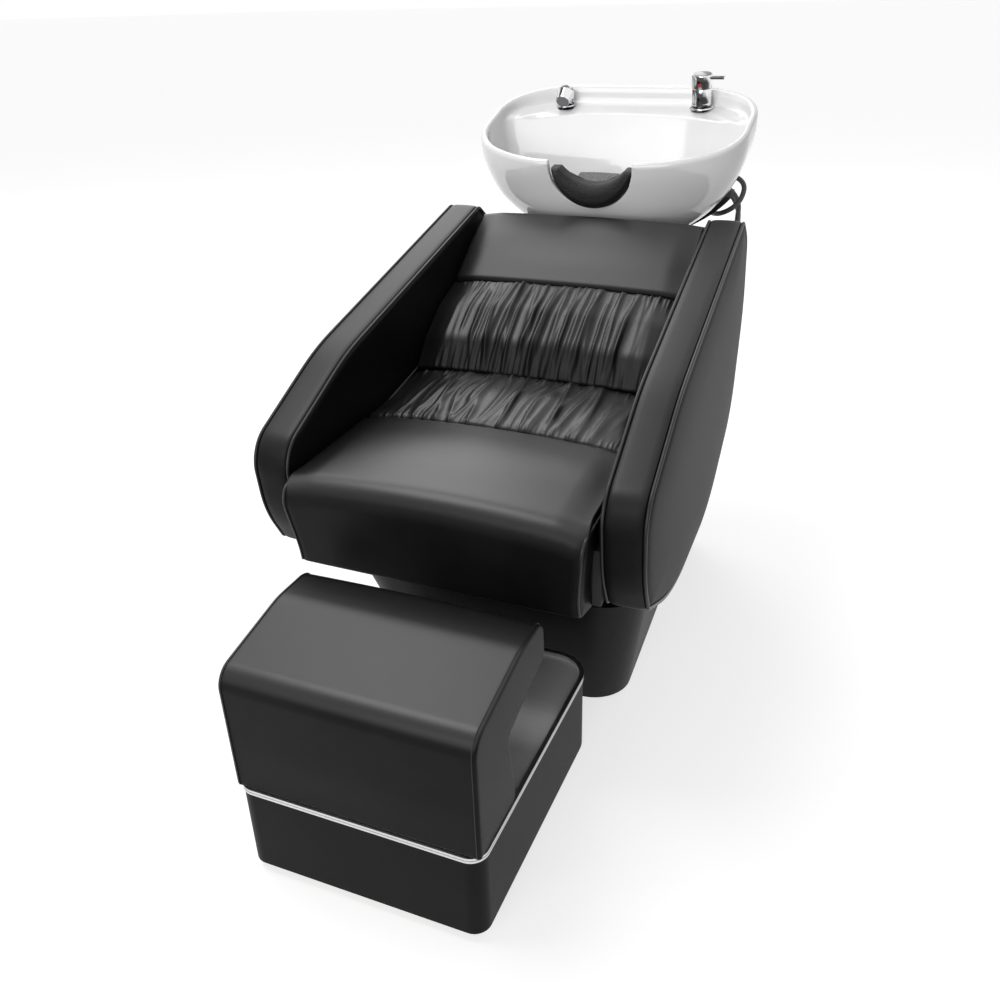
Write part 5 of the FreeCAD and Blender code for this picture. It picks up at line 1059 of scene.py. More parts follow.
@dataclass
class Upholstery:
    """The seat cushion, the gathered strip, the lumbar panel, the head panel and their welts."""

    half: float = 235.0
    reference: float = 358.0
    splay: float = 1.37
    edge_drop: float = 8.0
    end_flare: float = 7.0
    end_round: float = 8.0
    board: float = 498.0
    foot: float = 400.0
    seat_crown: float = 22.0
    back_crown: float = 10.0
    lumbar_puff: float = 22.0
    lumbar_length: float = 213.0
    head_length: float = 187.0
    back_depth: float = 80.0
    back_angle: float = 35.8
    heel: tuple[float, float] = (54.0, 596.0)
    seam_y: float = -139.0
    seam_z: float = 566.0
    nose_y: float = -418.0
    nose_z: float = 556.0
    toe_y: float = -394.0
    board_front: float = -350.8
    strip_rear: float = 52.5
    strip_rear_z: float = 587.0
    strip_length: float = 189.0
    tuck: float = 2.5
    welt: float = 3.0
    seam_radius: float = 14.0
    gap: float = 0.4
    strip_folds: FoldPattern = field(default_factory=lambda: FoldPattern(11, 34, 215.0, 4.4, 6.5, 24.0))
    lumbar_folds: FoldPattern = field(default_factory=lambda: FoldPattern(5, 40, 200.0, 4.9, 5.6, 12.0))

    def crown_at(self, share: float, crown: float) -> float:
        """How far a cushion stands above its edge line at a share of its half width."""
        edge = smooth_step(np.array(abs(share)), 0.8, 1.0)
        return crown * (1 - share * share) - float(edge) * self.edge_drop

    def stand(self, share: float, section: np.ndarray) -> np.ndarray:
        """Turn a side section to its place across the seat."""
        angle = math.radians(self.splay) * share
        offset = section[:, 0] - self.reference
        x = self.half * share - offset * math.sin(angle)
        x = x + math.copysign(max(0.0, abs(share) * 5 - 4), share) * self.flare(section)
        return np.column_stack([x, self.reference + offset * math.cos(angle), section[:, 1]])

    def flare(self, section: np.ndarray) -> np.ndarray:
        """How far the cushion's ends bulge, ahead of the arms and above its foot."""
        ahead = 1 - smooth_step(section[:, 0], -402.0, -345.0)
        return self.end_flare * ahead * (1.7 * smooth_step(section[:, 1], 410.0, 535.0) - 0.9)

    def back_point(self, along: np.ndarray, out: np.ndarray) -> np.ndarray:
        """Side view points from distance up the back and out of its face."""
        cosine, sine = wave(self.back_angle)
        return np.column_stack(
            [self.heel[0] + along * cosine - out * sine, self.heel[1] + along * sine + out * cosine]
        )

    def front_corners(self, rise: float) -> list[Corner]:
        """Side outline of the smooth front cushion."""
        return [
            (self.seam_y - self.gap, self.seam_z + rise / 2, self.seam_radius),
            (self.nose_y * 0.62, self.seam_z + rise, 620.0),
            (self.nose_y, self.nose_z + rise / 2, 42.0),
            (self.toe_y, self.foot, 3.0),
            (self.board_front, self.foot, 0.0),
            (self.board_front, self.board, 0.0),
            (self.seam_y - self.gap, self.board, 0.0),
        ]

    def strip_corners(self, rise: float) -> list[Corner]:
        """Side outline of the gathered seat strip."""
        return [
            (self.strip_rear, self.strip_rear_z + rise / 2, 4.0),
            (-44.5, 576.0 + rise, 330.0),
            (self.seam_y + self.gap, self.seam_z + rise / 2, self.seam_radius),
            (self.seam_y + self.gap, self.board, 0.0),
            (self.strip_rear, self.board, 0.0),
        ]

    def lumbar_corners(self, rise: float) -> list[Corner]:
        """Outline of the lumbar panel as distance up the back and out of its face."""
        length = self.lumbar_length - self.gap
        return [
            (length, rise, self.seam_radius),
            (length * 0.62, self.lumbar_puff + rise, 84.0),
            (length * 0.27, self.lumbar_puff + rise, 60.0),
            (-4.0, rise / 2 + 1.0, 4.0),
            (-4.0, -self.back_depth, 0.0),
            (length, -self.back_depth, 0.0),
        ]

    def head_corners(self, rise: float) -> list[Corner]:
        """Outline of the head panel as distance up the back and out of its face."""
        start, end = self.lumbar_length + self.gap, self.lumbar_length + self.head_length
        return [
            (end, rise / 2 - 3.0, self.seam_radius),
            ((start + end) / 2, rise + 5.0, 400.0),
            (start, rise / 2 - 2.0, self.seam_radius),
            (start, -self.back_depth, 0.0),
            (end, -self.back_depth, 0.0),
        ]

    def shares(self, count: int) -> list[float]:
        """Stations across the cushion, closer together at its sides."""
        return [math.copysign(1 - (1 - abs(v)) ** 1.15, v) for v in np.linspace(-1, 1, count)]

    def panel(
        self,
        name: str,
        corners_at: Callable[[float], list[Corner]],
        crown: float,
        shape: Callable[[float, np.ndarray], np.ndarray],
        columns: int,
        around: int,
        *nodes: str,
    ) -> None:
        """Loft a cushion across the seat.

        Args:
            name: the piece's name.
            corners_at: side outline for a rise of the face.
            crown: how far the middle stands above the edges.
            shape: turns a station and its outline into side view points.
            columns: how many sections across.
            around: how many points round each section.
            nodes: the nodes that it replaces.
        """
        rings = []
        for share in self.shares(columns):
            outline = rounded_outline(corners_at(self.crown_at(share, crown)), around)
            rings.append(self.stand(share, shape(share, outline)))
        cushion = MeshShop.loft(name, rings, LEATHER, caps=5, swell=0.8)
        MeshShop.finish_piece(cushion, Body.CHAIR, "black_leather", *nodes)

    def gathers(self, folds: FoldPattern, share: float, along: np.ndarray) -> np.ndarray:
        """How far the gathers stand out of a panel's plain face.

        Args:
            folds: the panel's gathers.
            share: the place across it, as a share of its half width.
            along: 0 at one seam and 1 at the other.

        Returns:
            The height at each point, less near the seams.
        """
        edge = 0.6 + 0.4 * np.sin(math.pi * np.clip(along, 0, 1)) ** 0.5
        return (folds.lift(np.full(len(along), share * self.half), along) - self.tuck) * edge

    def build_seat(self) -> None:
        """Build the smooth front cushion and the gathered strip behind it."""

        def ended(share: float, line: np.ndarray) -> np.ndarray:
            """Round the cushion's upright front edges."""
            turn = min(max((abs(share) - 0.93) / 0.07, 0.0), 1.0)
            pull = self.end_round * (1 - math.sqrt(1 - 0.97 * turn * turn))
            ahead = 1 - smooth_step(line[:, 0], -400.0, -360.0)
            return np.column_stack([line[:, 0] + pull * ahead, line[:, 1]])

        self.panel("front_cushion", self.front_corners, self.seat_crown, ended, 121, 260, "seat_cushion")

        def gathered(share: float, line: np.ndarray) -> np.ndarray:
            """Raise the strip's top by its gathers."""
            along = (line[:, 0] - self.seam_y) / self.strip_length
            top = smooth_step(line[:, 1], self.seam_z - 13.0, self.seam_z + 2.0)
            return np.column_stack(
                [line[:, 0], line[:, 1] + self.gathers(self.strip_folds, share, along) * top]
            )

        self.panel(
            "gathered_strip", self.strip_corners, self.seat_crown, gathered, 301, 240,
            "seat_gathered_strip"
        )

    def build_back(self) -> None:
        """Build the gathered lumbar panel and the smooth head panel."""

        def gathered(share: float, line: np.ndarray) -> np.ndarray:
            """Raise the lumbar panel's face by its gathers."""
            along = line[:, 0] / self.lumbar_length
            top = smooth_step(line[:, 1], -16.0, 2.0)
            return self.back_point(
                line[:, 0], line[:, 1] + self.gathers(self.lumbar_folds, share, along) * top
            )

        self.panel(
            "lumbar_panel", self.lumbar_corners, self.back_crown, gathered, 301, 260,
            "back_lumbar_panel"
        )
        self.panel(
            "head_panel", self.head_corners, self.back_crown,
            lambda share, line: self.back_point(line[:, 0], line[:, 1]), 61, 220, "back_head_panel",
        )

    def welt_line(self) -> np.ndarray:
        """Side view line of the welt from the top of the back to the foot of the seat."""
        deep = self.edge_drop + self.seam_radius
        total = self.lumbar_length + self.head_length
        head = self.back_point(np.array([total - deep]), np.array([-deep]))[0]
        heel = self.back_point(np.array([deep]), np.array([-deep]))[0]
        corners = [
            (*head, 0.0), (*heel, 42.0), (self.seam_y, self.seam_z - deep, 42.0),
            (self.nose_y + 3.0, self.nose_z - 12.0, 34.0), (self.toe_y + 3.0, self.foot + 3.0, 0.0),
        ]
        points = [np.array(corners[0][:2])]
        for (a, b, radius), (way_in, way_out, turn) in list(zip(corners, corner_turns(corners)))[1:-1]:
            here = np.array((a, b))
            reach = radius * math.tan(abs(turn) / 2)
            start, end = here - way_in * reach, here + way_out * reach
            for step in np.linspace(0, 1, 12):
                points.append((1 - step) ** 2 * start + 2 * step * (1 - step) * here + step ** 2 * end)
        points.append(np.array(corners[-1][:2]))
        return resample(np.array(points), 260, closed=False)

    def build_welts(self) -> None:
        """Build the welt along each side of the seat."""
        line = self.welt_line()
        cosine, sine = wave(self.splay)
        offset = line[:, 0] - self.reference
        x = (self.half + self.welt) - offset * sine + self.flare(line)
        x = x - (self.end_round + 1.0) * (1 - smooth_step(line[:, 0], -418.0, -350.0))
        for side in Side:
            path = np.column_stack([x * side.value, self.reference + offset * cosine, line[:, 1]])
            welt = MeshShop.tube(f"seat_welt_{side.word}", path, self.welt, WELT_LEATHER)
            nodes = ("seat_piping",) if side is Side.RIGHT else ()
            MeshShop.finish_piece(welt, Body.CHAIR, "black_leather", *nodes)

    def build(self) -> None:
        """Build the whole upholstery."""
        self.build_seat()
        self.build_back()
        self.build_welts()


@dataclass
class LeanedFrame:
    """The basin's own frame, which leans back."""

    setback: float = 533.6
    base: float = 755.0
    lean: float = 10.0

    def matrix(self, x: float, y: float, z: float) -> Matrix:
        """The place of a point of the basin's frame, in metres."""
        turn = Matrix.Rotation(math.radians(self.lean), 4, "X")
        return Matrix.Translation(
            Vector((0.0, self.setback * MM, self.base * MM))
        ) @ turn @ Matrix.Translation(Vector((x, y, z)) * MM)

    def place(self, points: np.ndarray) -> np.ndarray:
        """Points of the basin's frame on the bed, in millimetres."""
        cosine, sine = wave(self.lean)
        return np.column_stack([
            points[:, 0],
            self.setback + cosine * points[:, 1] - sine * points[:, 2],
            self.base + sine * points[:, 1] + cosine * points[:, 2],
        ])

    def fit(
        self, name: str, profile: Profile, spot: Point, body: Body, *nodes: str, tip: float = 0.0,
    ) -> None:
        """Turn a chrome fitting and stand it on a point of the basin's frame.

        Args:
            name: the piece's name.
            profile: pairs of radius and height.
            spot: the point that its origin stands on, in millimetres.
            body: the body that it rides on.
            nodes: the nodes that it replaces.
            tip: how far it is tipped about X, in degrees.
        """
        made = MeshShop.turned(name, profile, CHROME)
        made.data.transform(self.matrix(*spot) @ Matrix.Rotation(math.radians(tip), 4, "X"))
        MeshShop.finish_piece(made, body, "chrome", *nodes)


LEANED = LeanedFrame()


@dataclass
class Basin:
    """The white ceramic basin with its lip, deck and neck notch."""

    width: float = 568.0
    depth: float = 354.0
    height: float = 231.6
    rim_slope: float = 8.8
    foot_shift: float = 5.0
    rim_shift: float = 39.8
    wall: float = 14.0
    floor: float = 14.0
    deck: float = 222.7
    deck_front: float = 143.0
    deck_foot: float = 70.0
    notch_radius: float = 86.3
    notch_height: float = 193.0
    notch_top: float = 225.0
    notch_flare: float = 12.0
    drain_radius: float = 24.0
    fitting_x: float = 152.0
    fitting_y: float = 171.0
    fitting_radius: float = 17.0
    seat_radius: float = 27.0
    lip_rise: float = 7.0
    deck_blend: float = 12.0
    deck_bow: float = 0.0007
    deck_wall: float = 8.0
    past: float = 300.0
    below: float = 40.0
    half_span: float = 400.0
    hole_depth: float = 60.0
    columns: int = 240
    levels: tuple[tuple[float, float, float, float, float], ...] = (
        (0.0, 0.0, 0.36, 0.37, 0.0),
        (0.216, 0.2, 0.68, 0.53, 0.17),
        (0.432, 0.43, 0.86, 0.735, 0.4),
        (0.648, 0.72, 0.955, 0.88, 0.62),
        (0.86, 0.92, 0.998, 0.975, 0.86),
        (1.0, 1.0, 1.0, 1.0, 1.0),
    )

    @property
    def deck_slope(self) -> float:
        """How far the deck's front wall runs back for its height."""
        return (self.deck_front - self.deck_foot) / self.deck

    def oval(self, half_width: float, half_depth: float) -> np.ndarray:
        """One level's plan, a soft rectangle that is squarer at the rear."""
        front, rear = 0.547, 0.621
        plan = [
            (-front * half_width, -half_depth), (front * half_width, -half_depth),
            (half_width, -front * half_depth), (half_width, rear * half_depth),
            (rear * half_width, half_depth), (-rear * half_width, half_depth),
            (-half_width, rear * half_depth), (-half_width, -front * half_depth),
        ]
        corners = [(a, b, 0.0) for a, b in plan]
        rounded = []
        for index, (a, b) in enumerate(plan):
            reach = min(math.dist((a, b), plan[(index + step) % 8]) for step in (-1, 1)) * 0.49
            rounded.append((a, b, reach / math.tan(abs(corner_turns(corners)[index][2]) / 2)))
        points = rounded_outline(rounded, 720)
        angles = np.arctan2(points[:, 1] / half_depth, points[:, 0] / half_width)
        order = np.argsort(angles)
        wanted = -math.pi + np.arange(self.columns) * TURN / self.columns
        known = np.concatenate([angles[order] - TURN, angles[order], angles[order] + TURN])
        return np.column_stack([
            np.interp(wanted, known, np.tile(points[order, axis], 3)) for axis in range(2)
        ])

    def level_ring(self, share: float, wall: float) -> np.ndarray:
        """A ring of the basin at a share of its height, moved in by a wall."""
        table = np.array(self.levels)
        height, shift, width, depth, slope = (
            self.smooth_value(table[:, 0], table[:, axis], share) for axis in range(5)
        )
        plan = self.oval(self.width / 2 * width - wall, self.depth / 2 * depth - wall)
        angle = math.radians(self.rim_slope) * slope
        y = self.foot_shift + (self.rim_shift - self.foot_shift) * shift + plan[:, 1] * math.cos(angle)
        z = self.height * height + plan[:, 1] * math.sin(angle)
        return np.column_stack([plan[:, 0], y, z])

    @staticmethod
    def smooth_value(places: np.ndarray, values: np.ndarray, share: float) -> float:
        """Read a table through its points with a smooth curve."""
        index = int(np.clip(np.searchsorted(places, share) - 1, 0, len(places) - 2))
        slopes = np.gradient(values, places)
        low, high = places[index], places[index + 1]
        span = high - low
        t = min(max((share - low) / span, 0.0), 1.0)
        return float(
            (2 * t ** 3 - 3 * t ** 2 + 1) * values[index] + (t ** 3 - 2 * t ** 2 + t) * span * slopes[index]
            + (3 * t ** 2 - 2 * t ** 3) * values[index + 1] + (t ** 3 - t ** 2) * span * slopes[index + 1]
        )

    def hold_deck(self, ring: np.ndarray) -> np.ndarray:
        """Keep an inner ring ahead of the deck's front."""
        held = ring.copy()
        below = 1 - smooth_step(held[:, 2], self.deck - 7.0, self.deck + 1.0)
        limit = self.deck_foot + self.deck_slope * np.minimum(held[:, 2], self.deck)
        limit = limit - self.deck_bow * held[:, 0] ** 2
        soft = self.deck_blend
        clipped = limit - soft * np.log1p(np.exp(np.clip((limit - held[:, 1]) / soft, -40, 40)))
        clipped = np.minimum(clipped, held[:, 1])
        held[:, 1] = held[:, 1] * (1 - below) + clipped * below
        return held

    def rings(self) -> list[np.ndarray]:
        """All rings of the closed shell, from the foot up, over the lip and down inside."""
        made = [self.level_ring(share, 0.0) for share in (0.0, 0.02, 0.06, *np.linspace(0.11, 0.975, 24))]
        top = self.level_ring(1.0, 0.0)
        inner_top = self.level_ring(1.0, self.wall)
        middle = (top + inner_top) / 2
        across = (top - inner_top) / 2
        cosine, sine = wave(self.rim_slope)
        rise = np.array((0.0, -sine, cosine)) * self.lip_rise
        for angle in np.linspace(-0.05, math.pi + 0.05, 13):
            made.append(middle + across * math.cos(angle) + rise * (math.sin(angle) - 1.0))
        for share in np.linspace(0.97, 0.06, 44):
            made.append(self.hold_deck(self.level_ring(share, self.wall)))
        floor = self.level_ring(0.0, self.wall)
        centre = floor.mean(axis=0)
        for share in (0.97, 0.9, 0.75):
            ring = centre + (self.hold_deck(self.level_ring(0.06, self.wall)) - centre) * share
            ring[:, 2] = self.floor
            made.append(ring)
        return made

    def build(self) -> None:
        """Build the basin and dress its drain."""
        rings = [LEANED.place(ring) for ring in self.rings()]
        shell = MeshShop.publish("basin_shell", rings, GLAZE, ends=True)
        cutters = self.cutters()
        for cutter in cutters:
            MeshShop.modify(shell, "BOOLEAN", operation="DIFFERENCE", solver="EXACT", object=cutter)
            MeshShop.settle(shell)
        for cutter in cutters:
            bpy.data.objects.remove(cutter)
        MeshShop.modify(shell, "REMESH", mode="VOXEL", voxel_size=0.0028, use_smooth_shade=True)
        MeshShop.modify(shell, "SMOOTH", factor=0.5, iterations=6)
        MeshShop.settle(shell)
        MeshShop.finish_piece(shell, Body.BOWL, "white_ceramic", "shampoo_bowl")
        dress_nodes(
            bowl_saddle=BLACK_PLASTIC, bowl_cradle=POWDER_COAT, bowl_mounting_bolts=ZINC, tilt_pins=ZINC,
            drain_flange=CHROME, drain_gasket=HOSE_RUBBER, drain_nut=WHITE_PLASTIC, hair_strainer=CHROME,
            deck_nuts=ZINC, hose_ferrules=ZINC,
        )

    def cutters(self) -> list[bpy.types.Object]:
        """The shapes that open the notch, the room under the deck, the drain and the fitting holes."""
        outline = [
            (self.notch_radius * math.sin(a), self.notch_height - self.notch_radius * math.cos(a))
            for a in np.linspace(-math.pi / 2, math.pi / 2, 48)
        ]
        flare = [
            (self.notch_radius + 1.0, self.notch_top), (self.notch_radius + self.notch_flare, self.past)
        ]
        outline = [(-x, z) for x, z in reversed(flare)] + outline + flare
        notch = [(x, -self.past, z) for x, z in outline]
        made = [self.prism("notch", notch, (0.0, self.past, 0.0))]
        slope = self.deck_slope
        front = self.deck_foot + self.deck_wall
        low, top = -self.below, self.deck - self.wall
        side = [(front + slope * low, low), (self.past, low), (self.past, top), (front + slope * top, top)]
        under = [(-self.half_span, y, z) for y, z in side]
        made.append(self.prism("under", under, (2 * self.half_span, 0.0, 0.0)))
        holes = [(0.0, self.foot_shift, self.drain_radius, -self.hole_depth / 2)]
        for radius, base in ((self.fitting_radius, self.deck - self.below), (self.seat_radius, self.deck)):
            holes += [(side.value * self.fitting_x, self.fitting_y, radius, base) for side in Side]
        for x, y, radius, base in holes:
            angles = np.arange(48) * TURN / 48
            ring = [(x + radius * math.cos(a), y + radius * math.sin(a), base) for a in angles]
            made.append(self.prism("round", ring, (0.0, 0.0, self.hole_depth)))
        return made

    @staticmethod
    def prism(name: str, ring: Sequence[Point], way: Point) -> bpy.types.Object:
        """A closed block that a ring of the basin's frame sweeps along a way."""
        low = np.array(ring)
        ends = [LEANED.place(low), LEANED.place(low + np.array(way))]
        return MeshShop.publish(name, ends, GLAZE, ends=True)


@dataclass
class NeckCradle:
    """The black neck rest in the notch and its cloth flap."""

    radius: float = 86.0
    front: float = -136.0
    depth: float = 42.0
    centre: float = 193.0
    saddle_radius: float = 91.6
    saddle_height: float = 155.0
    flap_half: float = 44.0
    flap_length: float = 34.0
    flap_rise: float = 9.0
    flap_taper: float = 2.5
    flap_thickness: float = 3.4
    overlap: float = 6.0
    tip_drop: float = 7.0
    roundness: float = 19.0
    rear_edge: Profile = ((6.0, 0.0), (2.5, 0.7), (0.4, 2.6), (0.0, 6.0))

    def outline(self, shrink: float) -> np.ndarray:
        """The crescent's outline across the basin, moved in by an amount."""
        outer, inner = self.radius - shrink, self.saddle_radius + shrink
        top = self.saddle_height + self.saddle_radius
        gap = top - self.centre
        cross = (outer ** 2 - inner ** 2 + gap ** 2) / (2 * gap)
        cross = min(cross, self.radius - shrink)
        level = min(self.centre, self.centre + cross) - self.tip_drop - shrink
        outer_angle = math.acos(np.clip((level - self.centre) / -outer, -1, 1))
        inner_angle = math.acos(np.clip((top - level) / inner, -1, 1))
        lower = [
            (outer * math.sin(a), self.centre - outer * math.cos(a))
            for a in np.linspace(-outer_angle, outer_angle, 60)
        ]
        upper = [
            (inner * math.sin(a), top - inner * math.cos(a))
            for a in np.linspace(inner_angle, -inner_angle, 60)
        ]
        return resample(np.array(lower + upper), 200)

    def build(self) -> None:
        """Build the crescent and its flap."""
        far = self.front + self.depth
        rings = []
        stations = [
            (self.front + self.roundness * (1 - math.sin(turn)), self.roundness * (1 - math.cos(turn)))
            for turn in np.radians(np.linspace(82, 0, 12))
        ]
        stations += [(far - ahead, shrink) for ahead, shrink in self.rear_edge]
        for y, shrink in stations:
            outline = self.outline(shrink)
            ring = np.column_stack([outline[:, 0], np.full(len(outline), y), outline[:, 1]])
            rings.append(LEANED.place(ring))
        crescent = MeshShop.loft("neck_crescent", rings, NECK_RUBBER, caps=6, swell=1.0)
        MeshShop.finish_piece(crescent, Body.NECK_REST, "black_rubber", "neck_rest")
        flap = []
        for step in np.linspace(0, 1, 12):
            y = far - self.overlap + self.flap_length * step
            z = self.saddle_height - self.overlap + self.flap_rise * step
            half = self.flap_half - self.flap_taper * step ** 3
            top = z + self.flap_thickness
            line = [(-half, z), (half, z), (half, top), (-half, top)]
            points = resample(np.array(line), 64)
            points[:, 1] += 0.5 * np.cos(points[:, 0] / self.flap_half * math.pi)
            flap.append(LEANED.place(np.column_stack([points[:, 0], np.full(64, y), points[:, 1]])))
        tongue = MeshShop.loft("neck_flap_cloth", flap, FLAP_CLOTH, caps=2, swell=0.3)
        MeshShop.finish_piece(tongue, Body.NECK_REST, "black_leather", "neck_rest_flap")


@dataclass
class MixerTap:
    """The chrome single lever tap."""

    x: float = 152.0
    y: float = 171.0
    deck: float = 222.7
    hood_rise: float = 42.6
    ring: Profile = (
        (16.2, 0.0), (24.0, 0.0), (24.8, 0.8), (24.8, 2.4), (24.0, 3.4), (21.6, 4.4), (20.6, 5.0),
        (16.2, 5.0), (16.2, 0.0),
    )
    column: Profile = (
        (0.0, -34.0), (15.2, -34.0), (16.0, -33.2), (16.0, 5.0), (19.2, 5.05), (20.0, 5.8), (20.0, 12.0),
        (19.6, 13.0), (20.0, 14.0), (20.0, 40.6), (19.2, 41.7), (18.2, 42.0), (6.2, 42.0), (6.05, 41.0),
        (6.05, 28.0), (0.0, 28.0),
    )
    hood: Profile = (
        (17.4, 0.0), (20.8, 0.0), (21.4, 0.7), (21.4, 24.2), (20.9, 25.8), (19.4, 26.8), (17.0, 27.0),
        (0.0, 27.0), (0.0, 23.0), (17.4, 23.0), (17.4, 0.0),
    )

    def build(self) -> None:
        """Build the base ring, body and cap, and dress the lever."""
        spot = (self.x, self.y, self.deck)
        LEANED.fit("tap_base", self.ring, spot, Body.BOWL, "tap_base_ring")
        LEANED.fit("tap_column", self.column, spot, Body.BOWL, "tap_body")
        LEANED.fit(
            "tap_hood", self.hood, (self.x, self.y, self.deck + self.hood_rise), Body.LEVER, "tap_cap"
        )
        dress_nodes(tap_lever=CHROME, tap_dot=RED_ENAMEL, tap_spindle=BRASS)


@dataclass
class HandShower:
    """The chrome handset in its holder."""

    x: float = -152.0
    y: float = 171.0
    deck: float = 222.7
    head_rise: float = 25.0
    head_radius: float = 19.0
    bell_radius: float = 18.9
    face_angle: float = 25.0
    collar: Profile = (
        (11.5, -34.0), (15.0, -34.0), (15.0, 0.0), (19.2, 0.0), (20.0, 0.8), (20.0, 2.6), (19.0, 3.8),
        (17.5, 4.0), (11.5, 4.0), (11.5, -34.0),
    )
    head: Profile = (
        (18.6, 3.0), (16.2, 18.0), (15.4, 23.6), (14.9, 25.2), (13.9, 26.0), (12.8, 25.6), (12.6, 24.0),
        (0.0, 24.0),
    )
    stem: Profile = (
        (0.0, -83.2), (10.6, -83.2), (11.3, -82.4), (11.4, 4.3), (13.0, 5.4), (13.0, 8.0), (12.2, 9.0),
        (13.6, 11.0), (17.2, 14.5), (18.6, 18.0),
    )

    def build(self) -> None:
        """Build the holder, the leaning head and the stem with its round bell."""
        spot = (self.x, self.y, self.deck)
        turn = np.radians(np.linspace(-90, 0, 14))
        dome = [(self.head_radius * math.cos(t), self.head_radius * math.sin(t)) for t in turn]
        bell = [
            (self.bell_radius * math.cos(t), self.head_rise - self.bell_radius * math.sin(t))
            for t in reversed(turn)
        ]
        LEANED.fit("holder_collar", self.collar, spot, Body.BOWL, "handset_holder")
        head_spot = (self.x, self.y, self.deck + self.head_rise)
        tip = 90.0 + self.face_angle
        LEANED.fit("handset_dome", (*dome, *self.head), head_spot, Body.HANDSET, "handset", tip=tip)
        LEANED.fit("handset_stem", (*self.stem, *bell), spot, Body.HANDSET)
        dress_nodes(handset_spray_face=GREY_PLASTIC)


@dataclass
class Studio:
    """Floor, light and camera."""

    camera_spot: Point = (0.6326898, -1.5566767, 1.2521038)
    azimuth: float = 23.6700651
    elevation: float = 27.8431035
    roll: float = -1.7145108
    focal: float = 980.8676705
    centre: tuple[float, float] = (500.832829, 500.283447)
    picture: float = 1000.0
    sensor: float = 36.0
    far: float = 60.0
    reach: float = 55.0
    sky: float = 0.24
    floor_glow: float = 0.7
    sunlight: tuple[str, float, float, float, float] = ("front_light", 262.0, 12.0, 1.55, 50.0)
    softboxes: tuple[tuple[str, Point, Point, tuple[float, float], float], ...] = (
        ("top_light", (-1.85, -0.6, 5.4), (0.0, 0.2, 0.7), (2.4, 2.4), 88.0),
        ("middle_light", (-2.1, 2.3, 4.4), (0.0, 0.0, 0.6), (2.4, 2.4), 38.0),
        ("rear_light", (-1.9, 4.0, 3.0), (0.0, 0.0, 0.6), (2.6, 1.8), 23.0),
    )

    def camera(self) -> None:
        """Stand the camera where the photograph was taken."""
        data = bpy.data.cameras.new("camera")
        data.sensor_width = self.sensor
        data.lens = self.focal / self.picture * self.sensor
        data.shift_x = 0.5 - self.centre[0] / self.picture
        data.shift_y = self.centre[1] / self.picture - 0.5
        data.clip_end = self.far
        made = put("camera", data)
        (ca, sa), (ce, se), (cr, sr) = (wave(v) for v in (self.azimuth, self.elevation, self.roll))
        back = np.array((sa * ce, -ca * ce, se))
        right = np.array((ca, sa, 0.0))
        up = np.cross(back, right)
        basis = Matrix((cr * right + sr * up, -sr * right + cr * up, back)).transposed().to_4x4()
        made.matrix_world = Matrix.Translation(Vector(self.camera_spot)) @ basis
        bpy.context.scene.camera = made

    def softbox(self, name: str, spot: Point, aim: Point, size: tuple[float, float], watts: float) -> None:
        """Hang one soft lamp.

        Args:
            name: the lamp's name.
            spot: where it hangs.
            aim: the point that it faces.
            size: its width and height in metres.
            watts: its power.
        """
        data = bpy.data.lights.new(name, "AREA")
        data.shape = "RECTANGLE"
        data.size, data.size_y = size
        data.energy = watts
        lamp = put(name, data)
        lamp.location = spot
        lamp.visible_camera = False
        lamp.rotation_euler = (Vector(aim) - Vector(spot)).to_track_quat("-Z", "Y").to_euler()

    def floor(self) -> None:
        """Lay the white floor out to the horizon."""
        tree = Tree("pale_floor")
        cloud = tree.noise(2.0, 2.0)
        tree.dress(
            Base_Color=tree.tint(cloud, grey(0.62), grey(0.64)),
            Roughness=0.9,
            Specular_IOR_Level=0.1,
            Emission_Color=tree.tint(tree.seen(), grey(0.0), grey(self.floor_glow)),
            Emission_Strength=1.0,
        )
        mesh = bpy.data.meshes.new("floor")
        reach = self.reach
        corners = [(-reach, -reach, 0), (reach, -reach, 0), (reach, reach, 0), (-reach, reach, 0)]
        mesh.from_pydata(corners, [], [(0, 1, 2, 3)])
        mesh.materials.append(tree.material)
        put("floor", mesh)

    def world(self) -> None:
        """Light the room evenly, with a white background for the camera and for mirrors."""
        tree = Tree("studio", world=True)
        colour = tree.tint(tree.seen(), grey(self.sky), grey(1.0))
        bpy.context.scene.world = tree.dress(Color=colour, Strength=1.0)

    def sun(self, name: str, turn: float, rise: float, power: float, spread: float) -> None:
        """Shine one soft even light.

        Args:
            name: the lamp's name.
            turn: the way that it comes from, in degrees about Z from +X.
            rise: how high it stands in degrees.
            power: its strength.
            spread: its width in degrees.
        """
        data = bpy.data.lights.new(name, "SUN")
        data.energy = power
        data.angle = math.radians(spread)
        (ca, sa), (ce, se) = wave(turn), wave(rise)
        put(name, data).rotation_euler = Vector((ca * ce, sa * ce, se)).to_track_quat("Z", "Y").to_euler()

    def build(self) -> None:
        """Set up the whole studio."""
        self.camera()
        self.floor()
        self.world()
        self.sun(*self.sunlight)
        for softbox in self.softboxes:
            self.softbox(*softbox)
        bpy.context.scene.view_settings.view_transform = "Standard"


@dataclass(frozen=True)
class HoseLine:
    """One flexible hose: its node, bodies and the turning points of its run in metres."""

    node: str
    points: tuple[Point, ...]
    radius: float = 0.0052
    follows: tuple[Body, Body] = (Body.CHAIR, Body.BOWL)
    ribs: float = 0.0
    finish: Finish = HOSE_BRAID


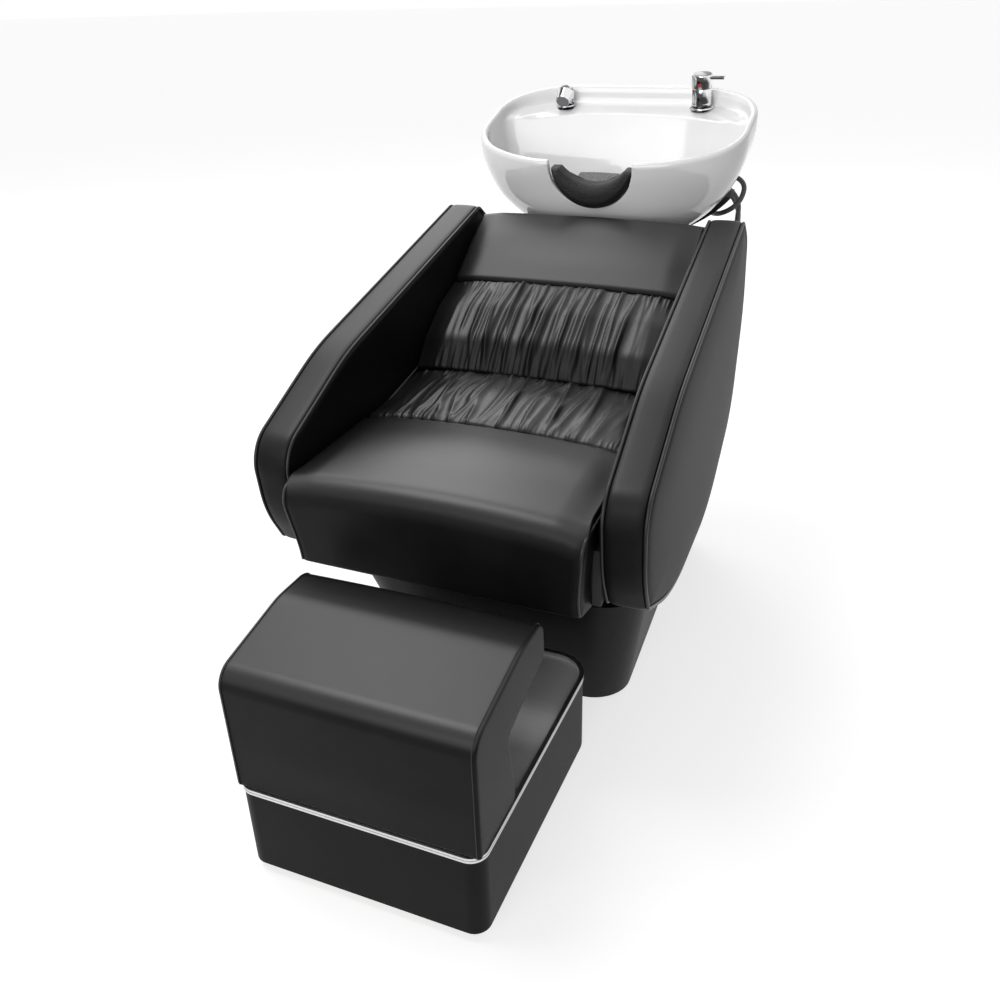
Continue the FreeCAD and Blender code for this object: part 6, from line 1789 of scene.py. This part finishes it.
SHOWER_LINE = HoseLine(
    "shower_hose",
    (
        (0.1591, 0.6680, 0.9541), (0.1591, 0.6763, 0.9068), (0.1761, 0.6552, 0.8801),
        (0.2698, 0.6057, 0.8740), (0.2698, 0.5563, 0.8314), (0.2187, 0.5660, 0.8013),
        (0.1704, 0.6648, 0.8013), (0.0199, 0.6938, 0.7921), (-0.1051, 0.7017, 0.8150),
        (-0.1520, 0.6873, 0.8680), (-0.1520, 0.6806, 0.9058),
    ),
    follows=(Body.BOWL, Body.BOWL),
)
HOT_LINE = HoseLine(
    "hot_supply_hose",
    (
        (0.1449, 0.6680, 0.9541), (0.1449, 0.6763, 0.9068), (0.1602, 0.6762, 0.8680),
        (0.2562, 0.6279, 0.8379), (0.2658, 0.5461, 0.7821), (0.2721, 0.5478, 0.7149),
        (0.2403, 0.6120, 0.6501), (0.1102, 0.6398, 0.6299), (-0.0199, 0.6279, 0.6221),
        (-0.0650, 0.5200, 0.6214), (-0.0650, 0.5200, 0.5510),
    ),
)
COLD_LINE = HoseLine(
    "cold_supply_hose",
    (
        (0.1520, 0.6801, 0.9562), (0.1520, 0.6884, 0.9089), (0.1852, 0.6858, 0.8620),
        (0.2499, 0.6517, 0.8150), (0.2618, 0.5921, 0.7719), (0.2579, 0.5881, 0.7161),
        (0.2198, 0.6319, 0.6860), (0.1500, 0.6319, 0.6679), (0.0650, 0.5200, 0.6214),
        (0.0650, 0.5200, 0.5510),
    ),
)
WASTE_LINE = HoseLine(
    "waste_hose",
    ((0.0, 0.5437, 0.7263), (0.0, 0.5523, 0.6775), (0.0, 0.5450, 0.6106), (0.0, 0.5450, 0.5610)),
    radius=0.0208,
    ribs=0.0045,
    finish=HOSE_RUBBER,
)


@dataclass
class Hoses:
    """The shower hose, the supply hoses and the waste hose."""

    low_end: Point = (0.0, 0.52, 0.63)
    high_end: Point = (0.0, 0.52, 0.85)

    @staticmethod
    def line_points(line: HoseLine) -> list[Vector]:
        """Read a hose's smooth line from a spline through its turning points.

        Args:
            line: the hose.

        Returns:
            Points along the line in metres.
        """
        curve = bpy.data.curves.new("line", "CURVE")
        curve.dimensions = "3D"
        curve.resolution_u = 16
        spline = curve.splines.new("NURBS")
        spline.points.add(len(line.points) - 1)
        for point, spot in zip(spline.points, line.points):
            point.co = (*spot, 1.0)
        spline.order_u = 3
        spline.use_endpoint_u = True
        holder = put("line", curve)
        mesh = worked_out(holder)
        points = [vertex.co.copy() for vertex in mesh.vertices]
        bpy.data.objects.remove(holder)
        bpy.data.curves.remove(curve)
        bpy.data.meshes.remove(mesh)
        return points

    def lay(self, line: HoseLine) -> None:
        points = self.line_points(line)
        path = np.array(points) / MM
        length = float(np.linalg.norm(np.diff(path, axis=0), axis=1).sum()) * MM
        if line.ribs:
            path = resample(path, int(length / line.ribs * 6), closed=False)
        name = line.node + "_line"
        tube = MeshShop.tube(name, path, line.radius / MM, line.finish, sides=24, rib=line.ribs / MM)
        if line.follows[0] is line.follows[1]:
            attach(tube, line.follows[0].value)
        else:
            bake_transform(tube)
        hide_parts(line.node)
        LOG.info("%s: %.3f m long", line.node, length)

    def build(self) -> None:
        """Lay every hose."""
        for line in (SHOWER_LINE, HOT_LINE, COLD_LINE, WASTE_LINE):
            self.lay(line)


def main() -> None:
    """Build the bed piece by piece."""
    logging.basicConfig(level=logging.INFO, format="%(name)s %(message)s")
    arms = [ArmSlab(side) for side in Side]
    bed = (
        Hoses(), Footrest(), Pedestal(), *arms, Upholstery(), Basin(), NeckCradle(), MixerTap(),
        HandShower()
    )
    Studio().build()
    for assembly in bed:
        assembly.build()


if __name__ == "__main__":
    main()
